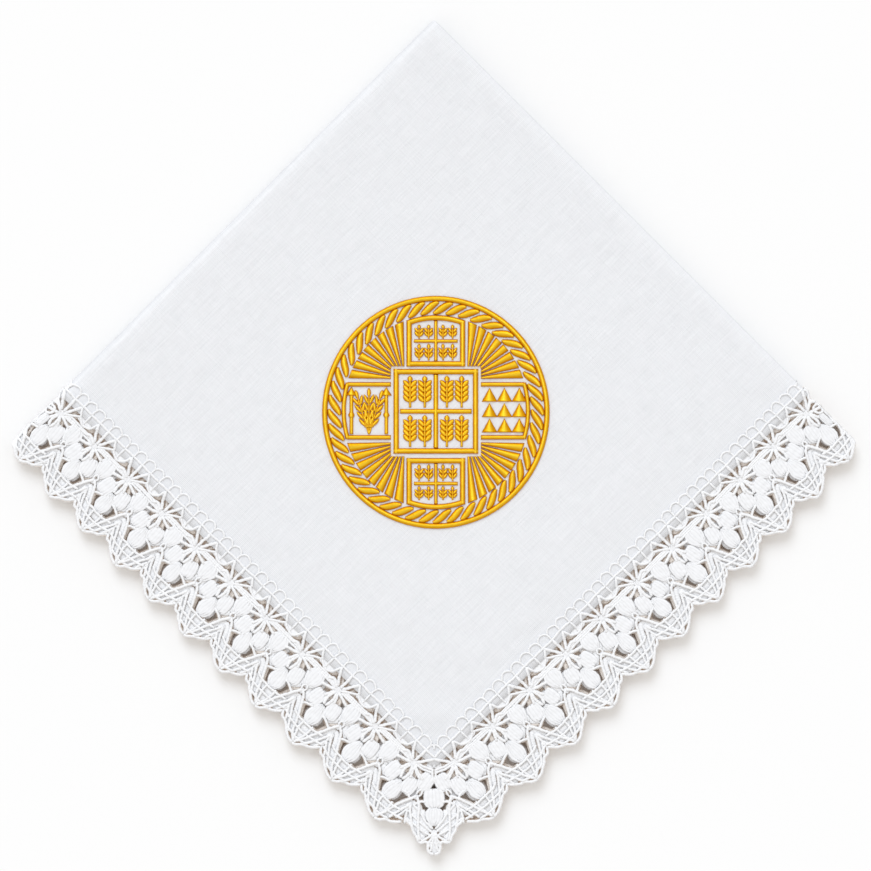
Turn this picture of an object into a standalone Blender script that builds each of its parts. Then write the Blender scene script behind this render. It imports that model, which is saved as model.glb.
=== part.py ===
"""A square linen towel edged with lace and embroidered in gold, folded in quarters and laid flat.

The towel is worked out open: u and v run along its sides from its centre, and n is the height off the
mid sheet on its right side. The fold function then bends it in half about the line u = 0, wrong sides
together, and in half again about the line v = 0, so that one quarter lies on top, right side up.
"""

from math import atan2, cos, pi, radians, sin, sqrt, tau

import bmesh
import bpy
from mathutils import Matrix, Vector

# The cloth, in metres
CLOTH_HALF = 0.2172
SHEET = 0.0010
HEADING_START = 0.2096
HEADING_STEP = 0.0002
HEADING_RISE = 0.0004

# The two folds: the radius of each at the mid sheet, and how many flat facets stand for its half turn
FIRST_BEND = 0.00075
FIRST_FACETS = 6
SECOND_BEND = 0.0018
SECOND_FACETS = 8

# The lace: a repeat is placed by its star, which is counted from the fold towards the corner
GAP = 0.0003
REPEATS = 11
FIRST_STAR = 0.0060
STAR_PITCH = 0.01922
STAR_GROWTH = 0.000114
EDGE_AT_FOLD = 0.2465
TIP_FIRST = 0.2487
TIP_RISE = 0.00020
VALLEY = 0.2441
VALLEY_BACK = 0.0098
TIP_ON = 0.0012
TIP_BLUNT = 0.0026
TIP_DROP = 0.0011
CORNER_TIP = 0.2422

# The gaps cut in each repeat: where each lies from the star and from the towel's centre, and its size
GAPS = [
    {"along": -0.0044, "out": 0.2379, "long": 0.0033, "wide": 0.0029},
    {"along": 0.0050, "out": 0.2382, "long": 0.0033, "wide": 0.0029},
    {"along": -0.0051, "out": 0.2188, "long": 0.0032, "wide": 0.0018},
]
FOLD_MARGIN = 0.0033
UNEVEN = 0.00004

# The edge of the lace at a corner, from its last repeat to the diagonal
CORNER_EDGE = [
    {"along": 0.2237, "out": 0.2410},
    {"along": 0.2300, "out": 0.2436},
    {"along": 0.2353, "out": 0.2431},
    {"along": 0.2372, "out": 0.2417},
]
CORNER_GAPS = [
    {"along": 0.2210, "out": 0.2281, "long": 0.0030, "wide": 0.0026},
    {"along": 0.2240, "out": 0.2345, "long": 0.0030, "wide": 0.0026},
]

# The embroidery, from its own centre: x to the right and y up as the towel lies. Its shapes start and end
# at slightly different heights, so that those joined into one piece have no faces in common.
EMBLEM_U = 0.1134
EMBLEM_V = 0.1144
STITCH = 0.0007
CORD_LOW = 0.00005
MOTIF_LOW = 0.0001
CROSS_HIGH = 0.0006
MOTIF_HIGH = 0.0005

RING_X = 0.0455
RING_Y = 0.0466
RING_WIDE = 0.0020
RING_SEGMENTS = 64
RING_SIDES = 6

ROPE_X = 0.0416
ROPE_Y = 0.0428
ROPE_TWISTS = 48
ROPE_BASE_WIDE = 0.0014
ROPE_BASE_HIGH = 0.0003
TWIST_TIP = (0.0037, 0.0021)
TWIST_HIPS = [(0.0005, 0.0015), (-0.0019, -0.0005)]

CENTRE_HALF = 0.0174
CENTRE_UP = 0.0004
FRAME_WIDE = 0.0021
CENTRE_CROSS_WIDE = 0.0019
ROOT_DEPTH = 0.0006

PANEL_HALF = 0.0121
PANEL_START = 0.0187
PANEL_SHOULDER = 0.0380
PANEL_CROWN = 0.0399
PANEL_CROSS_WIDE = 0.0012
PANEL_CROSS_MIDDLE = 0.0292

SIDE_START = 0.0184
SIDE_SHOULDER = 0.0372
SIDE_CROWN = 0.0387
SIDE_TOP = 0.0124
SIDE_BOTTOM = -0.0112
SIDE_WIDE = 0.0014
ARC_STEPS = 5

TRIANGLE_BASES = [0.0043, -0.0020, -0.0083]
TRIANGLE_MIDDLES = [0.0214, 0.02705, 0.0327]
TRIANGLE_HALF = 0.0027
TRIANGLE_HIGH = 0.0055

RAYS = 8
RAY_GAP = 0.24
RAY_ROOT_X = 0.0128
RAY_ROOT_TOP = 0.0136
RAY_ROOT_BOTTOM = -0.0122
RAY_REACH = 0.0384
RAY_CLEAR = 0.0010
RAY_BRIDGE = 0.0009

# The wheat ears: their places across a frame and the height they fill, as shares of the field
EAR_PLACES = (-0.70, -0.30, 0.30, 0.70)
EAR_FILL = 0.93
EAR_WIDE = 0.0044
SMALL_EAR_WIDE = 0.0030
EAR_PAIRS = 4
SMALL_EAR_PAIRS = 2
STEM_HALF = 0.0004
STEM_SHARE = 0.22
GRAIN_LIFT = 0.95
NOTCH_SHARE = 0.26

SHEAF_X = -0.0274
SHEAF_HIGH = 0.0190
SHEAF_LEAN = 0.30
SPEAR_PLACES = (-0.0346, -0.0203)
SPEAR_TOP = 0.0102
SPEAR_HALF = 0.0007
SPEAR_KNOB_HALF = 0.0015
SPEAR_HEAD_HALF = 0.0022
SPEAR_HEAD_HIGH = 0.0034

# As the towel lies: the folded corner points away, along +Y
LAY_TURN = radians(225)

# How many times larger an outline is drawn while it is filled
ENLARGED = 1000

WHITE_LINEN = (0.86, 0.87, 0.89, 1.0)
WHITE_LACE = (0.90, 0.90, 0.91, 1.0)
GOLD_THREAD = (0.72, 0.37, 0.03, 1.0)


def clear_scene():
    for thing in list(bpy.data.objects):
        bpy.data.objects.remove(thing)


def new_collection(name):
    made = bpy.data.collections.new(name)
    bpy.context.scene.collection.children.link(made)
    return made


def new_material(name, colour, roughness, metallic):
    made = bpy.data.materials.new(name)
    made.use_nodes = True
    shader = made.node_tree.nodes["Principled BSDF"]
    shader.inputs["Base Color"].default_value = colour
    shader.inputs["Roughness"].default_value = roughness
    shader.inputs["Metallic"].default_value = metallic
    made.diffuse_color = colour
    return made


def clamp(value, low, high):
    return max(low, min(high, value))


def fold(u, v, n):
    """Where a point of the open towel lies once it is folded in quarters, with its mid plane at z = 0."""
    turn = clamp(u / FIRST_BEND, -pi / 2, pi / 2)
    past = max(0.0, abs(u) - FIRST_BEND * pi / 2)
    x = FIRST_BEND + past - (FIRST_BEND + n) * cos(turn)
    rise = (FIRST_BEND + n) * sin(turn)
    turn = clamp(v / SECOND_BEND, -pi / 2, pi / 2)
    past = max(0.0, abs(v) - SECOND_BEND * pi / 2)
    y = SECOND_BEND + past - (SECOND_BEND + rise) * cos(turn)
    z = (SECOND_BEND + rise) * sin(turn)
    return Vector((x, y, z))


def bend_lines(radius, facets):
    """The places across a fold where the sheet needs a line of points."""
    reach = radius * pi / 2
    return [reach * (2 * i / facets - 1) for i in range(facets + 1)]


def cut_lines(bm, axis, places):
    """Lines of points across a flat sheet, where it will bend."""
    normal = Vector((0, 0, 0))
    normal[axis] = 1
    for place in places:
        bmesh.ops.bisect_plane(
            bm,
            geom=bm.verts[:] + bm.edges[:] + bm.faces[:],
            dist=1e-7,
            plane_co=normal * place,
            plane_no=normal,
        )


def heading_rise(u, v):
    """How far the sewn heading stands up off the cloth: not at all on the lowest quarter, pressed flat."""
    if max(abs(u), abs(v)) < HEADING_START + HEADING_STEP / 2:
        return 0.0
    below_u = clamp(0.5 + u / (FIRST_BEND * pi), 0, 1)
    below_v = clamp(0.5 - v / (SECOND_BEND * pi), 0, 1)
    return HEADING_RISE * (1 - below_u * below_v)


def fold_sheet(bm):
    """Bends a flat sheet about both folds, point by point."""
    cut_lines(bm, 0, bend_lines(FIRST_BEND, FIRST_FACETS))
    cut_lines(bm, 1, bend_lines(SECOND_BEND, SECOND_FACETS))
    for point in bm.verts:
        u, v, n = point.co
        if n > 0 and max(abs(u), abs(v)) < CLOTH_HALF + GAP / 2:
            n += heading_rise(u, v)
        point.co = fold(u, v, n)
    bmesh.ops.recalc_face_normals(bm, faces=bm.faces)


def add_object(name, mesh, collection, material, parent):
    made = bpy.data.objects.new(name, mesh)
    collection.objects.link(made)
    made.data.materials.append(material)
    made.parent = parent
    return made


def mesh_from(bm, name):
    mesh = bpy.data.meshes.new(name)
    bm.to_mesh(mesh)
    bm.free()
    return mesh


def flat_bmesh(outlines, bottom, top):
    """A flat solid between two heights: outlines side by side are pieces, and one inside another is a hole.

    The curve is drawn enlarged and the mesh reduced again, because a fill takes close points for one.
    """
    curve = bpy.data.curves.new("outline", "CURVE")
    curve.dimensions = "2D"
    curve.fill_mode = "BOTH"
    curve.extrude = ENLARGED * (top - bottom) / 2
    for outline in outlines:
        spline = curve.splines.new("POLY")
        spline.points.add(len(outline) - 1)
        for point, (x, y) in zip(spline.points, outline):
            point.co = (ENLARGED * x, ENLARGED * y, 0, 1)
        spline.use_cyclic_u = True
    guide = bpy.data.objects.new("outline", curve)
    bpy.context.scene.collection.objects.link(guide)
    graph = bpy.context.evaluated_depsgraph_get()
    mesh = bpy.data.meshes.new_from_object(guide.evaluated_get(graph))
    bpy.data.objects.remove(guide)
    bm = bmesh.new()
    bm.from_mesh(mesh)
    bmesh.ops.remove_doubles(bm, verts=bm.verts, dist=1e-4)
    bmesh.ops.beautify_fill(bm, faces=bm.faces, edges=bm.edges, method="ANGLE")
    bmesh.ops.scale(bm, vec=(1 / ENLARGED, 1 / ENLARGED, 1 / ENLARGED), verts=bm.verts)
    bmesh.ops.translate(bm, vec=(0, 0, (top + bottom) / 2), verts=bm.verts)
    bmesh.ops.recalc_face_normals(bm, faces=bm.faces)
    return bm


def flat_mesh(name, outlines, bottom, top):
    return mesh_from(flat_bmesh(outlines, bottom, top), name)


def box_outline(left, right, low, high):
    return [(left, low), (right, low), (right, high), (left, high)]


def diamond(x, y, half_x, half_y):
    return [(x - half_x, y), (x, y - half_y), (x + half_x, y), (x, y + half_y)]


# The cloth


def cloth_mesh():
    bm = bmesh.new()
    size = Matrix.Diagonal((2 * CLOTH_HALF, 2 * CLOTH_HALF, SHEET, 1))
    bmesh.ops.create_cube(bm, size=1, matrix=size)
    heading = [HEADING_START, HEADING_START + HEADING_STEP]
    for axis in (0, 1):
        cut_lines(bm, axis, heading + [-place for place in heading])
    fold_sheet(bm)
    return mesh_from(bm, "cloth")


# The lace


def star_place(k):
    """How far a repeat's star lies from the fold, measured along the edge."""
    return FIRST_STAR + STAR_PITCH * k + STAR_GROWTH * k * k


def half_side_edge():
    """The scalloped edge from a fold to the corner's diagonal, as (along, out) places."""
    edge = [(0.0, EDGE_AT_FOLD)]
    for k in range(REPEATS):
        star = star_place(k)
        tip = TIP_FIRST + TIP_RISE * k
        if k > 0:
            edge.append((star - VALLEY_BACK, VALLEY))
        edge.append((star + TIP_ON - TIP_BLUNT, tip - TIP_DROP))
        edge.append((star + TIP_ON, tip))
        edge.append((star + TIP_ON + TIP_BLUNT, tip - TIP_DROP))
    edge += [(place["along"], place["out"]) for place in CORNER_EDGE]
    edge.append((CORNER_TIP, CORNER_TIP))
    return edge


def lace_outline():
    """The edge all round: each quarter runs from the middle of one side, round the corner, to the next."""
    edge = half_side_edge()
    quarter = [(out, along) for along, out in edge]
    quarter += [(along, out) for along, out in reversed(edge[1:-1])]
    outline = []
    for _ in range(4):
        outline += quarter
        quarter = [(-y, x) for x, y in quarter]
    return outline


def half_side_gaps():
    """The gaps from a fold to the corner, as diamonds whose points lie along and across the edge."""
    gaps = []
    for k in range(REPEATS):
        for gap in GAPS:
            along = star_place(k) + gap["along"]
            out = gap["out"] + UNEVEN * (k % 3)
            if along - gap["long"] / 2 > FOLD_MARGIN:
                gaps.append((along, out, gap["long"] / 2, gap["wide"] / 2))
    for gap in CORNER_GAPS:
        gaps.append((gap["along"], gap["out"], gap["long"] / 2, gap["wide"] / 2))
    return gaps


def lace_mesh():
    outlines = [lace_outline()]
    inner = CLOTH_HALF + GAP
    outlines.append(box_outline(-inner, inner, -inner, inner))
    for along, out, half_long, half_wide in half_side_gaps():
        for way in (-1, 1):
            for side in (-1, 1):
                outlines.append(diamond(side * out, way * along, half_wide, half_long))
                outlines.append(diamond(way * along, side * out, half_long, half_wide))
    bm = flat_bmesh(outlines, -SHEET / 2, SHEET / 2)
    fold_sheet(bm)
    return mesh_from(bm, "lace_edging")


# The embroidery


def arched_outline(half, low, shoulder, crown):
    """An upright frame's edge, whose top side bows up to the crown."""
    bow = [
        (half * (1 - 2 * i / (ARC_STEPS + 1)), shoulder + (crown - shoulder) * bow_share(i))
        for i in range(1, ARC_STEPS + 1)
    ]
    return [(-half, low), (half, low), (half, shoulder)] + bow + [(-half, shoulder)]


def bow_share(i):
    return 1 - (2 * i / (ARC_STEPS + 1) - 1) ** 2


def ear_outline(x, y, high, wide, pairs, lean=0.0):
    """A wheat ear that stands on (x, y): a stem, pairs of grains that point up and out, and a top grain."""
    stem = STEM_SHARE * high
    step = (high - stem) / (pairs + 1)
    right = [(STEM_HALF, 0.0), (STEM_HALF, stem)]
    for j in range(pairs):
        low = stem + j * step
        right.append((wide / 2, low + GRAIN_LIFT * step))
        right.append((NOTCH_SHARE * wide, low + step))
    outline = right + [(0.0, high)] + [(-a, b) for a, b in reversed(right)]
    return [(x + a * cos(lean) + b * sin(lean), y + b * cos(lean) - a * sin(lean)) for a, b in outline]


def spear_outline(x, low, high):
    """A staff with an arrow head and a knob half way up."""
    neck = high - SPEAR_HEAD_HIGH
    middle = (low + neck) / 2
    right = [
        (SPEAR_HALF, low),
        (SPEAR_HALF, middle - SPEAR_KNOB_HALF),
        (SPEAR_KNOB_HALF, middle),
        (SPEAR_HALF, middle + SPEAR_KNOB_HALF),
        (SPEAR_HALF, neck),
        (SPEAR_HEAD_HALF, neck),
    ]
    outline = right + [(0.0, high)] + [(-a, b) for a, b in reversed(right)]
    return [(x + a, b) for a, b in outline]


def ring_mesh():
    bpy.ops.mesh.primitive_torus_add(
        major_segments=RING_SEGMENTS,
        minor_segments=RING_SIDES,
        major_radius=RING_X,
        minor_radius=RING_WIDE / 2,
    )
    made = bpy.context.object
    mesh = made.data
    mesh.transform(Matrix.Diagonal((1, RING_Y / RING_X, STITCH / RING_WIDE, 1)))
    low = min(point.co.z for point in mesh.vertices)
    mesh.transform(Matrix.Translation((0, 0, -low)))
    bpy.data.objects.remove(made)
    return mesh


def on_rope(angle, out):
    return ((ROPE_X + out) * cos(angle), (ROPE_Y + out) * sin(angle))


def rope_meshes():
    """A thin ring, and the slanted twists that lie on it."""
    base = []
    for out in (ROPE_BASE_WIDE / 2, -ROPE_BASE_WIDE / 2):
        base.append([on_rope(tau * i / ROPE_TWISTS, out) for i in range(ROPE_TWISTS)])
    half = [TWIST_TIP] + TWIST_HIPS
    shape = half + [(-along, -out) for along, out in half]
    twists = []
    for i in range(ROPE_TWISTS):
        middle = tau * (i + 0.5) / ROPE_TWISTS
        twists.append([on_rope(middle - along / ROPE_X, out) for along, out in shape])
    return (
        flat_mesh("emblem_rope", base, 0, ROPE_BASE_HIGH),
        flat_mesh("rope_twists", twists, CORD_LOW, STITCH),
    )


def cross_outline(wide, reach_x, low, high, middle):
    """An upright cross: its bar runs from low to high, and its arms lie at the middle."""
    half = wide / 2
    right = [(half, low), (half, middle - half), (reach_x, middle - half)]
    right += [(reach_x, middle + half), (half, middle + half), (half, high)]
    return right + [(-x, y) for x, y in reversed(right)]


def centre_meshes():
    """The square frame, its cross, and two wheat ears in each of the four fields."""
    low = CENTRE_UP - CENTRE_HALF
    high = CENTRE_UP + CENTRE_HALF
    inner = CENTRE_HALF - FRAME_WIDE
    frame = [
        box_outline(-CENTRE_HALF, CENTRE_HALF, low, high),
        box_outline(-inner, inner, low + FRAME_WIDE, high - FRAME_WIDE),
    ]
    reach = inner + ROOT_DEPTH
    cross = cross_outline(CENTRE_CROSS_WIDE, reach, CENTRE_UP - reach, CENTRE_UP + reach, CENTRE_UP)
    field = inner - CENTRE_CROSS_WIDE / 2
    ears = []
    for floor in (CENTRE_UP - inner, CENTRE_UP + CENTRE_CROSS_WIDE / 2):
        for place in EAR_PLACES:
            foot = floor - ROOT_DEPTH / 2
            ears.append(ear_outline(place * inner, foot, EAR_FILL * field, EAR_WIDE, EAR_PAIRS))
    return (
        flat_mesh("emblem_centre", frame, 0, STITCH),
        flat_mesh("centre_cross", [cross], CORD_LOW, CROSS_HIGH),
        flat_mesh("centre_ears", ears, MOTIF_LOW, MOTIF_HIGH),
    )


def panel_meshes(name, flip):
    """The arched frame above or below the centre, with its cross and small ears."""
    inner = PANEL_HALF - FRAME_WIDE
    floor = PANEL_START + FRAME_WIDE
    ceiling = PANEL_SHOULDER - FRAME_WIDE
    frame = [
        arched_outline(PANEL_HALF, PANEL_START, PANEL_SHOULDER, PANEL_CROWN),
        arched_outline(inner, floor, ceiling, PANEL_CROWN - FRAME_WIDE),
    ]
    cross = cross_outline(
        PANEL_CROSS_WIDE,
        inner - 2 * GAP,
        floor - ROOT_DEPTH,
        PANEL_CROWN - FRAME_WIDE + ROOT_DEPTH,
        PANEL_CROSS_MIDDLE,
    )
    ears = []
    bar = PANEL_CROSS_WIDE / 2
    rows = (
        (floor, PANEL_CROSS_MIDDLE - bar),
        (PANEL_CROSS_MIDDLE + bar, ceiling + GAP),
    )
    for low, high in rows:
        foot = low - ROOT_DEPTH / 2
        tall = EAR_FILL * (high - low)
        for place in EAR_PLACES:
            ears.append(ear_outline(place * inner, foot, tall, SMALL_EAR_WIDE, SMALL_EAR_PAIRS))
    if flip:
        frame = [half_turn(outline) for outline in frame]
        cross = half_turn(cross)
        ears = [half_turn(outline) for outline in ears]
    return (
        flat_mesh(name, frame, 0, STITCH),
        flat_mesh(name + "_cross", [cross], CORD_LOW, CROSS_HIGH),
        flat_mesh(name + "_ears", ears, MOTIF_LOW, MOTIF_HIGH),
    )


def half_turn(outline):
    return [(-x, -y) for x, y in outline]


def side_outline(side):
    """A side panel's frame, open towards the centre, whose far side bows out."""
    inner_top = SIDE_TOP - SIDE_WIDE
    inner_bottom = SIDE_BOTTOM + SIDE_WIDE
    outline = [(SIDE_START, SIDE_TOP), (SIDE_SHOULDER, SIDE_TOP)]
    outline += side_bow(SIDE_SHOULDER, SIDE_CROWN, SIDE_TOP, SIDE_BOTTOM)
    outline += [(SIDE_SHOULDER, SIDE_BOTTOM), (SIDE_START, SIDE_BOTTOM), (SIDE_START, inner_bottom)]
    shoulder = SIDE_SHOULDER - SIDE_WIDE
    outline.append((shoulder, inner_bottom))
    outline += side_bow(shoulder, SIDE_CROWN - SIDE_WIDE, inner_bottom, inner_top)
    outline += [(shoulder, inner_top), (SIDE_START, inner_top)]
    return [(side * x, y) for x, y in outline]


def side_bow(shoulder, crown, start, end):
    return [
        (shoulder + (crown - shoulder) * bow_share(i), start + (end - start) * i / (ARC_STEPS + 1))
        for i in range(1, ARC_STEPS + 1)
    ]


def triangle_row(base):
    """Three triangles whose feet run into each other."""
    outline = []
    for middle in TRIANGLE_MIDDLES:
        outline.append((middle, base + TRIANGLE_HIGH))
        outline.append((middle + (TRIANGLE_MIDDLES[1] - TRIANGLE_MIDDLES[0]) / 2, base + ROOT_DEPTH))
    outline.pop()
    last = TRIANGLE_MIDDLES[-1] + TRIANGLE_HALF
    first = TRIANGLE_MIDDLES[0] - TRIANGLE_HALF
    return outline + [(last, base), (first, base)]


def fan_outline(side, up):
    """Rays that spread from a corner of the centre frame to the rope, joined at their narrow ends."""
    root = Vector((side * RAY_ROOT_X, RAY_ROOT_TOP if up > 0 else RAY_ROOT_BOTTOM))
    clear_x = CENTRE_HALF + RAY_CLEAR - abs(root.x)
    clear_y = CENTRE_HALF + RAY_CLEAR - abs(root.y - CENTRE_UP)
    share = pi / 2 / RAYS

    def place(angle, reach):
        return (root.x + side * sin(angle) * reach, root.y + up * cos(angle) * reach)

    def start(angle):
        return min(clear_x / max(sin(angle), 1e-9), clear_y / max(cos(angle), 1e-9))

    def end(angle):
        way = Vector((side * sin(angle), up * cos(angle)))
        along = root.dot(way)
        return sqrt(along * along - root.length_squared + RAY_REACH * RAY_REACH) - along

    outline = []
    for i in range(RAYS):
        first = share * (i + RAY_GAP / 2)
        last = share * (i + 1 - RAY_GAP / 2)
        if i > 0:
            between = share * i
            outline.append(place(between, start(between) + RAY_BRIDGE))
        outline += [place(first, end(first)), place(last, end(last))]
    first = share * RAY_GAP / 2
    last = pi / 2 - first
    corner = atan2(clear_x, clear_y)
    outline += [place(angle, start(angle)) for angle in (last, corner, first)]
    return outline


def towel_shift(parts):
    """The move that puts the middle of the part's underside at the world's origin."""
    bpy.context.view_layer.update()
    points = [thing.matrix_world @ point.co for thing in parts for point in thing.data.vertices]
    low = Vector([min(point[i] for point in points) for i in range(3)])
    high = Vector([max(point[i] for point in points) for i in range(3)])
    return Vector((-(low.x + high.x) / 2, -(low.y + high.y) / 2, -low.z))


def main():
    clear_scene()
    parts = new_collection("prosphora_towel")
    helpers = new_collection("joined_shapes")
    linen = new_material("white_linen", WHITE_LINEN, 0.85, 0.0)
    lace_thread = new_material("white_lace", WHITE_LACE, 0.8, 0.0)

    towel = bpy.data.objects.new("towel_lay", None)
    towel.rotation_euler = (0, 0, LAY_TURN)
    parts.objects.link(towel)
    emblem = bpy.data.objects.new("emblem_place", None)
    emblem.parent = towel
    top = FIRST_BEND + SECOND_BEND + SHEET / 2 + GAP
    emblem.location = fold(EMBLEM_U, EMBLEM_V, 0)
    emblem.location.z = top
    emblem.rotation_euler = (0, 0, -LAY_TURN)
    parts.objects.link(emblem)

    def gold(name):
        return new_material(name + "_gold", GOLD_THREAD, 0.4, 0.3)

    def embroider(name, meshes):
        """A piece of embroidery, and the shapes that are joined to it."""
        made = add_object(name, meshes[0], parts, gold(name), emblem)
        for mesh in meshes[1:]:
            helper = add_object(mesh.name, mesh, helpers, made.data.materials[0], emblem)
            helper.hide_render = True
            helper.display_type = "WIRE"
            join = made.modifiers.new("join " + mesh.name, "BOOLEAN")
            join.operation = "UNION"
            join.object = helper

    add_object("cloth", cloth_mesh(), parts, linen, towel)
    add_object("lace_edging", lace_mesh(), parts, lace_thread, towel)

    embroider("emblem_ring", [ring_mesh()])
    embroider("emblem_rope", rope_meshes())
    embroider("emblem_centre", centre_meshes())
    embroider("emblem_top_panel", panel_meshes("emblem_top_panel", False))
    embroider("emblem_bottom_panel", panel_meshes("emblem_bottom_panel", True))

    floor = SIDE_BOTTOM + SIDE_WIDE - ROOT_DEPTH / 2
    spears = [spear_outline(x, floor, SPEAR_TOP) for x in SPEAR_PLACES]
    left = [
        flat_mesh("emblem_left_panel", [side_outline(-1)], 0, STITCH),
        flat_mesh("left_spears", spears, CORD_LOW, CROSS_HIGH),
    ]
    for i, lean in enumerate((-SHEAF_LEAN, SHEAF_LEAN, 0.0)):
        ear = ear_outline(SHEAF_X, floor, SHEAF_HIGH, EAR_WIDE, EAR_PAIRS, lean)
        left.append(flat_mesh(f"left_ear_{i}", [ear], MOTIF_LOW * (i + 1), MOTIF_HIGH + CORD_LOW * i))
    embroider("emblem_left_panel", left)
    embroider("emblem_right_panel", [flat_mesh("emblem_right_panel", [side_outline(1)], 0, STITCH)])
    for i, base in enumerate(TRIANGLE_BASES, start=1):
        name = f"emblem_triangles_{i}"
        embroider(name, [flat_mesh(name, [triangle_row(base)], 0, STITCH)])
    for word, side, up in (
        ("top_left", -1, 1),
        ("top_right", 1, 1),
        ("bottom_left", -1, -1),
        ("bottom_right", 1, -1),
    ):
        name = "emblem_rays_" + word
        embroider(name, [flat_mesh(name, [fan_outline(side, up)], 0, STITCH)])

    towel.location = towel_shift([thing for thing in parts.objects if thing.type == "MESH"])


main()
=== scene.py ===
"""Dresses a folded prosphora towel: white linen, crocheted lace round its edge, and gold embroidery.

The towel is worked out open, as its solids are: u and v run along its sides from its centre, and n is the
height off the mid sheet on its right side. The fold function then bends it in quarters. The lace is
crocheted from a chart in millimetres, and the embroidery from bars and patches of satin stitch.
"""

from math import cos, pi, radians, sin, sqrt, tau

import bpy
import numpy as np
from bpy.props import FloatProperty, FloatVectorProperty, PointerProperty
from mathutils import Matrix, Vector


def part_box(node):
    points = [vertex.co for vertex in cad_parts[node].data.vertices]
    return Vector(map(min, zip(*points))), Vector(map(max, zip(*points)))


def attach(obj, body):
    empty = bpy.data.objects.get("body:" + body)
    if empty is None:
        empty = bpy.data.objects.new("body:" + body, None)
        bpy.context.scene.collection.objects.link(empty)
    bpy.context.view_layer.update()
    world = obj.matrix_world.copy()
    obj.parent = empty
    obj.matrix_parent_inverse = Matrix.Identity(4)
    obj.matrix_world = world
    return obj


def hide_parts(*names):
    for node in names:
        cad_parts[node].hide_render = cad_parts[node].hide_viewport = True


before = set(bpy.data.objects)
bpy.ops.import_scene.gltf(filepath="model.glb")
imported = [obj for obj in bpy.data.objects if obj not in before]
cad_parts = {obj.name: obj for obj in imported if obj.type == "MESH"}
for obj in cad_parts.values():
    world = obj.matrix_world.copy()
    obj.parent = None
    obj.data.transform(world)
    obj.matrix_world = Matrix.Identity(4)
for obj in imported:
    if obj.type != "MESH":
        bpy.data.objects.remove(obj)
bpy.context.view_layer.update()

bl_info = {
    "name": "Prosphora Towel",
    "version": (1, 0, 0),
    "blender": (4, 5, 0),
    "location": "View3D > Sidebar > Towel",
    "description": "Linen, crocheted lace and gold embroidery for a towel folded in quarters",
    "category": "Add Mesh",
}

MM = 0.001

# The folded cloth, in metres, as in its solids
CLOTH_HALF = 0.2172
HEM = CLOTH_HALF / MM
SHEET_TOP = 0.0005
SHEET_BOTTOM = -0.00045
FIRST_BEND = 0.00075
SECOND_BEND = 0.0018
LAY_TURN = radians(225)
EMBLEM_U = 0.1134
EMBLEM_V = 0.1144
TOP_FACE = FIRST_BEND + SECOND_BEND + SHEET_TOP
PRESSED = 0.00025

# The waves lie calmer beside the hem: by how much, from how far out, and over what distance
CALM_SHARE = 0.75
CALM_FROM = 0.195
CALM_OVER = 0.02

# The linen's lines of points: how far apart, and how many across each fold
CLOTH_STEP = 0.0035
FIRST_BEND_LINES = 8
SECOND_BEND_LINES = 12

# Soft waves in the folded towel, as (wave length, direction in degrees, start, share of the height)
WAVES = [
    (0.120, 38, 0.4, 0.30),
    (0.083, 127, 2.1, 0.24),
    (0.055, 84, 4.0, 0.17),
    (0.041, 12, 1.2, 0.12),
    (0.031, 151, 5.3, 0.09),
]
# Creases pressed in by folding: middle across and along, direction in degrees, length, width, height
CREASES = [
    (0.2035, 0.2015, -45, 0.018, 0.0028, 0.00055),
    (0.1940, 0.2060, -40, 0.020, 0.0040, 0.00024),
    (0.2050, 0.1880, -60, 0.018, 0.0035, 0.00024),
    (0.1500, 0.1980, -8, 0.030, 0.0050, 0.00020),
    (0.0800, 0.1900, 10, 0.036, 0.0060, 0.00020),
    (0.1950, 0.1200, 86, 0.034, 0.0060, 0.00020),
]

# The lace: a repeat is placed by its star, counted from the fold towards the corner
REPEATS = 11
FIRST_STAR = 6.2
STAR_PITCH = 18.98
STAR_GROWTH = 0.134
CHART_PITCH = 20.52
HUB_OUT = 5.1
# By a repeat's count: how far it is stretched outwards, and how far it leans and drops near the corner.
# By the place outwards: how far a layer's loose edge slips along.
STRETCH_AT = [-1, 0, 1, 2, 4, 12]
STRETCH = [0.88, 0.895, 0.955, 0.975, 1.0, 1.0]
LEAN_AT = [7, 8, 9, 10, 12]
LEAN = [0.0, 0.4, 1.2, 3.0, 3.4]
LEAN_FROM = 4
LEAN_OVER = 28
DROP_AT = [8, 9, 10, 12]
DROP = [0.0, 0.5, 2.2, 3.6]
# The drop comes in two parts: its share, where it starts outwards and how far it takes
DROP_PARTS = [(0.42, -1, 6), (0.58, 18, 13)]
SLIP_AT = [-4, -1, 1.5, 11, 17, 24, 29]
SLIP = [1.0, 1.0, 2.0, 2.0, 1.0, 0.7, 0.1]
SLIP_FREE = 12

# Strand widths. A strand wider than TAPE is a flat tape of close stitches, with its own cross-section.
HEAVY = 1.30
MIDDLING = 1.15
LIGHT = 0.92
RAY = 1.40
TAPE = 1.7
TAPE_HALF_THICK = 0.22
TAPE_STEP = 1.2
TAPE_SECTION = [(1.0, 0.0), (0.78, 1.0), (-0.78, 1.0), (-1.0, 0.0), (-0.78, -1.0), (0.78, -1.0)]

# How a strand is worked: the length of a chain stitch, how far it swells and sways, how far the strand
# strays from the chart, how it narrows at its ends and is pressed flat, and how it floats up and down
CHAIN = 2.0
CHAIN_SWELL = 0.13
CHAIN_SWAY = 0.05
STRAY = 0.09
END_SHARE = 0.7
PRESS_SHARE = 0.85
FLOAT = 0.07
FLOAT_LENGTH = 2.3

# Only a quarter with a finer step than this shows its chain stitches and the ridges of its petals
FINE_STEP = 1.0

# Where a strand climbs from the open work onto the hem, and how far it lies above the linen there
CLIMB_FROM = 0.7
CLIMB_OVER = 1.6
HEADING_LIFT = 0.30

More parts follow.
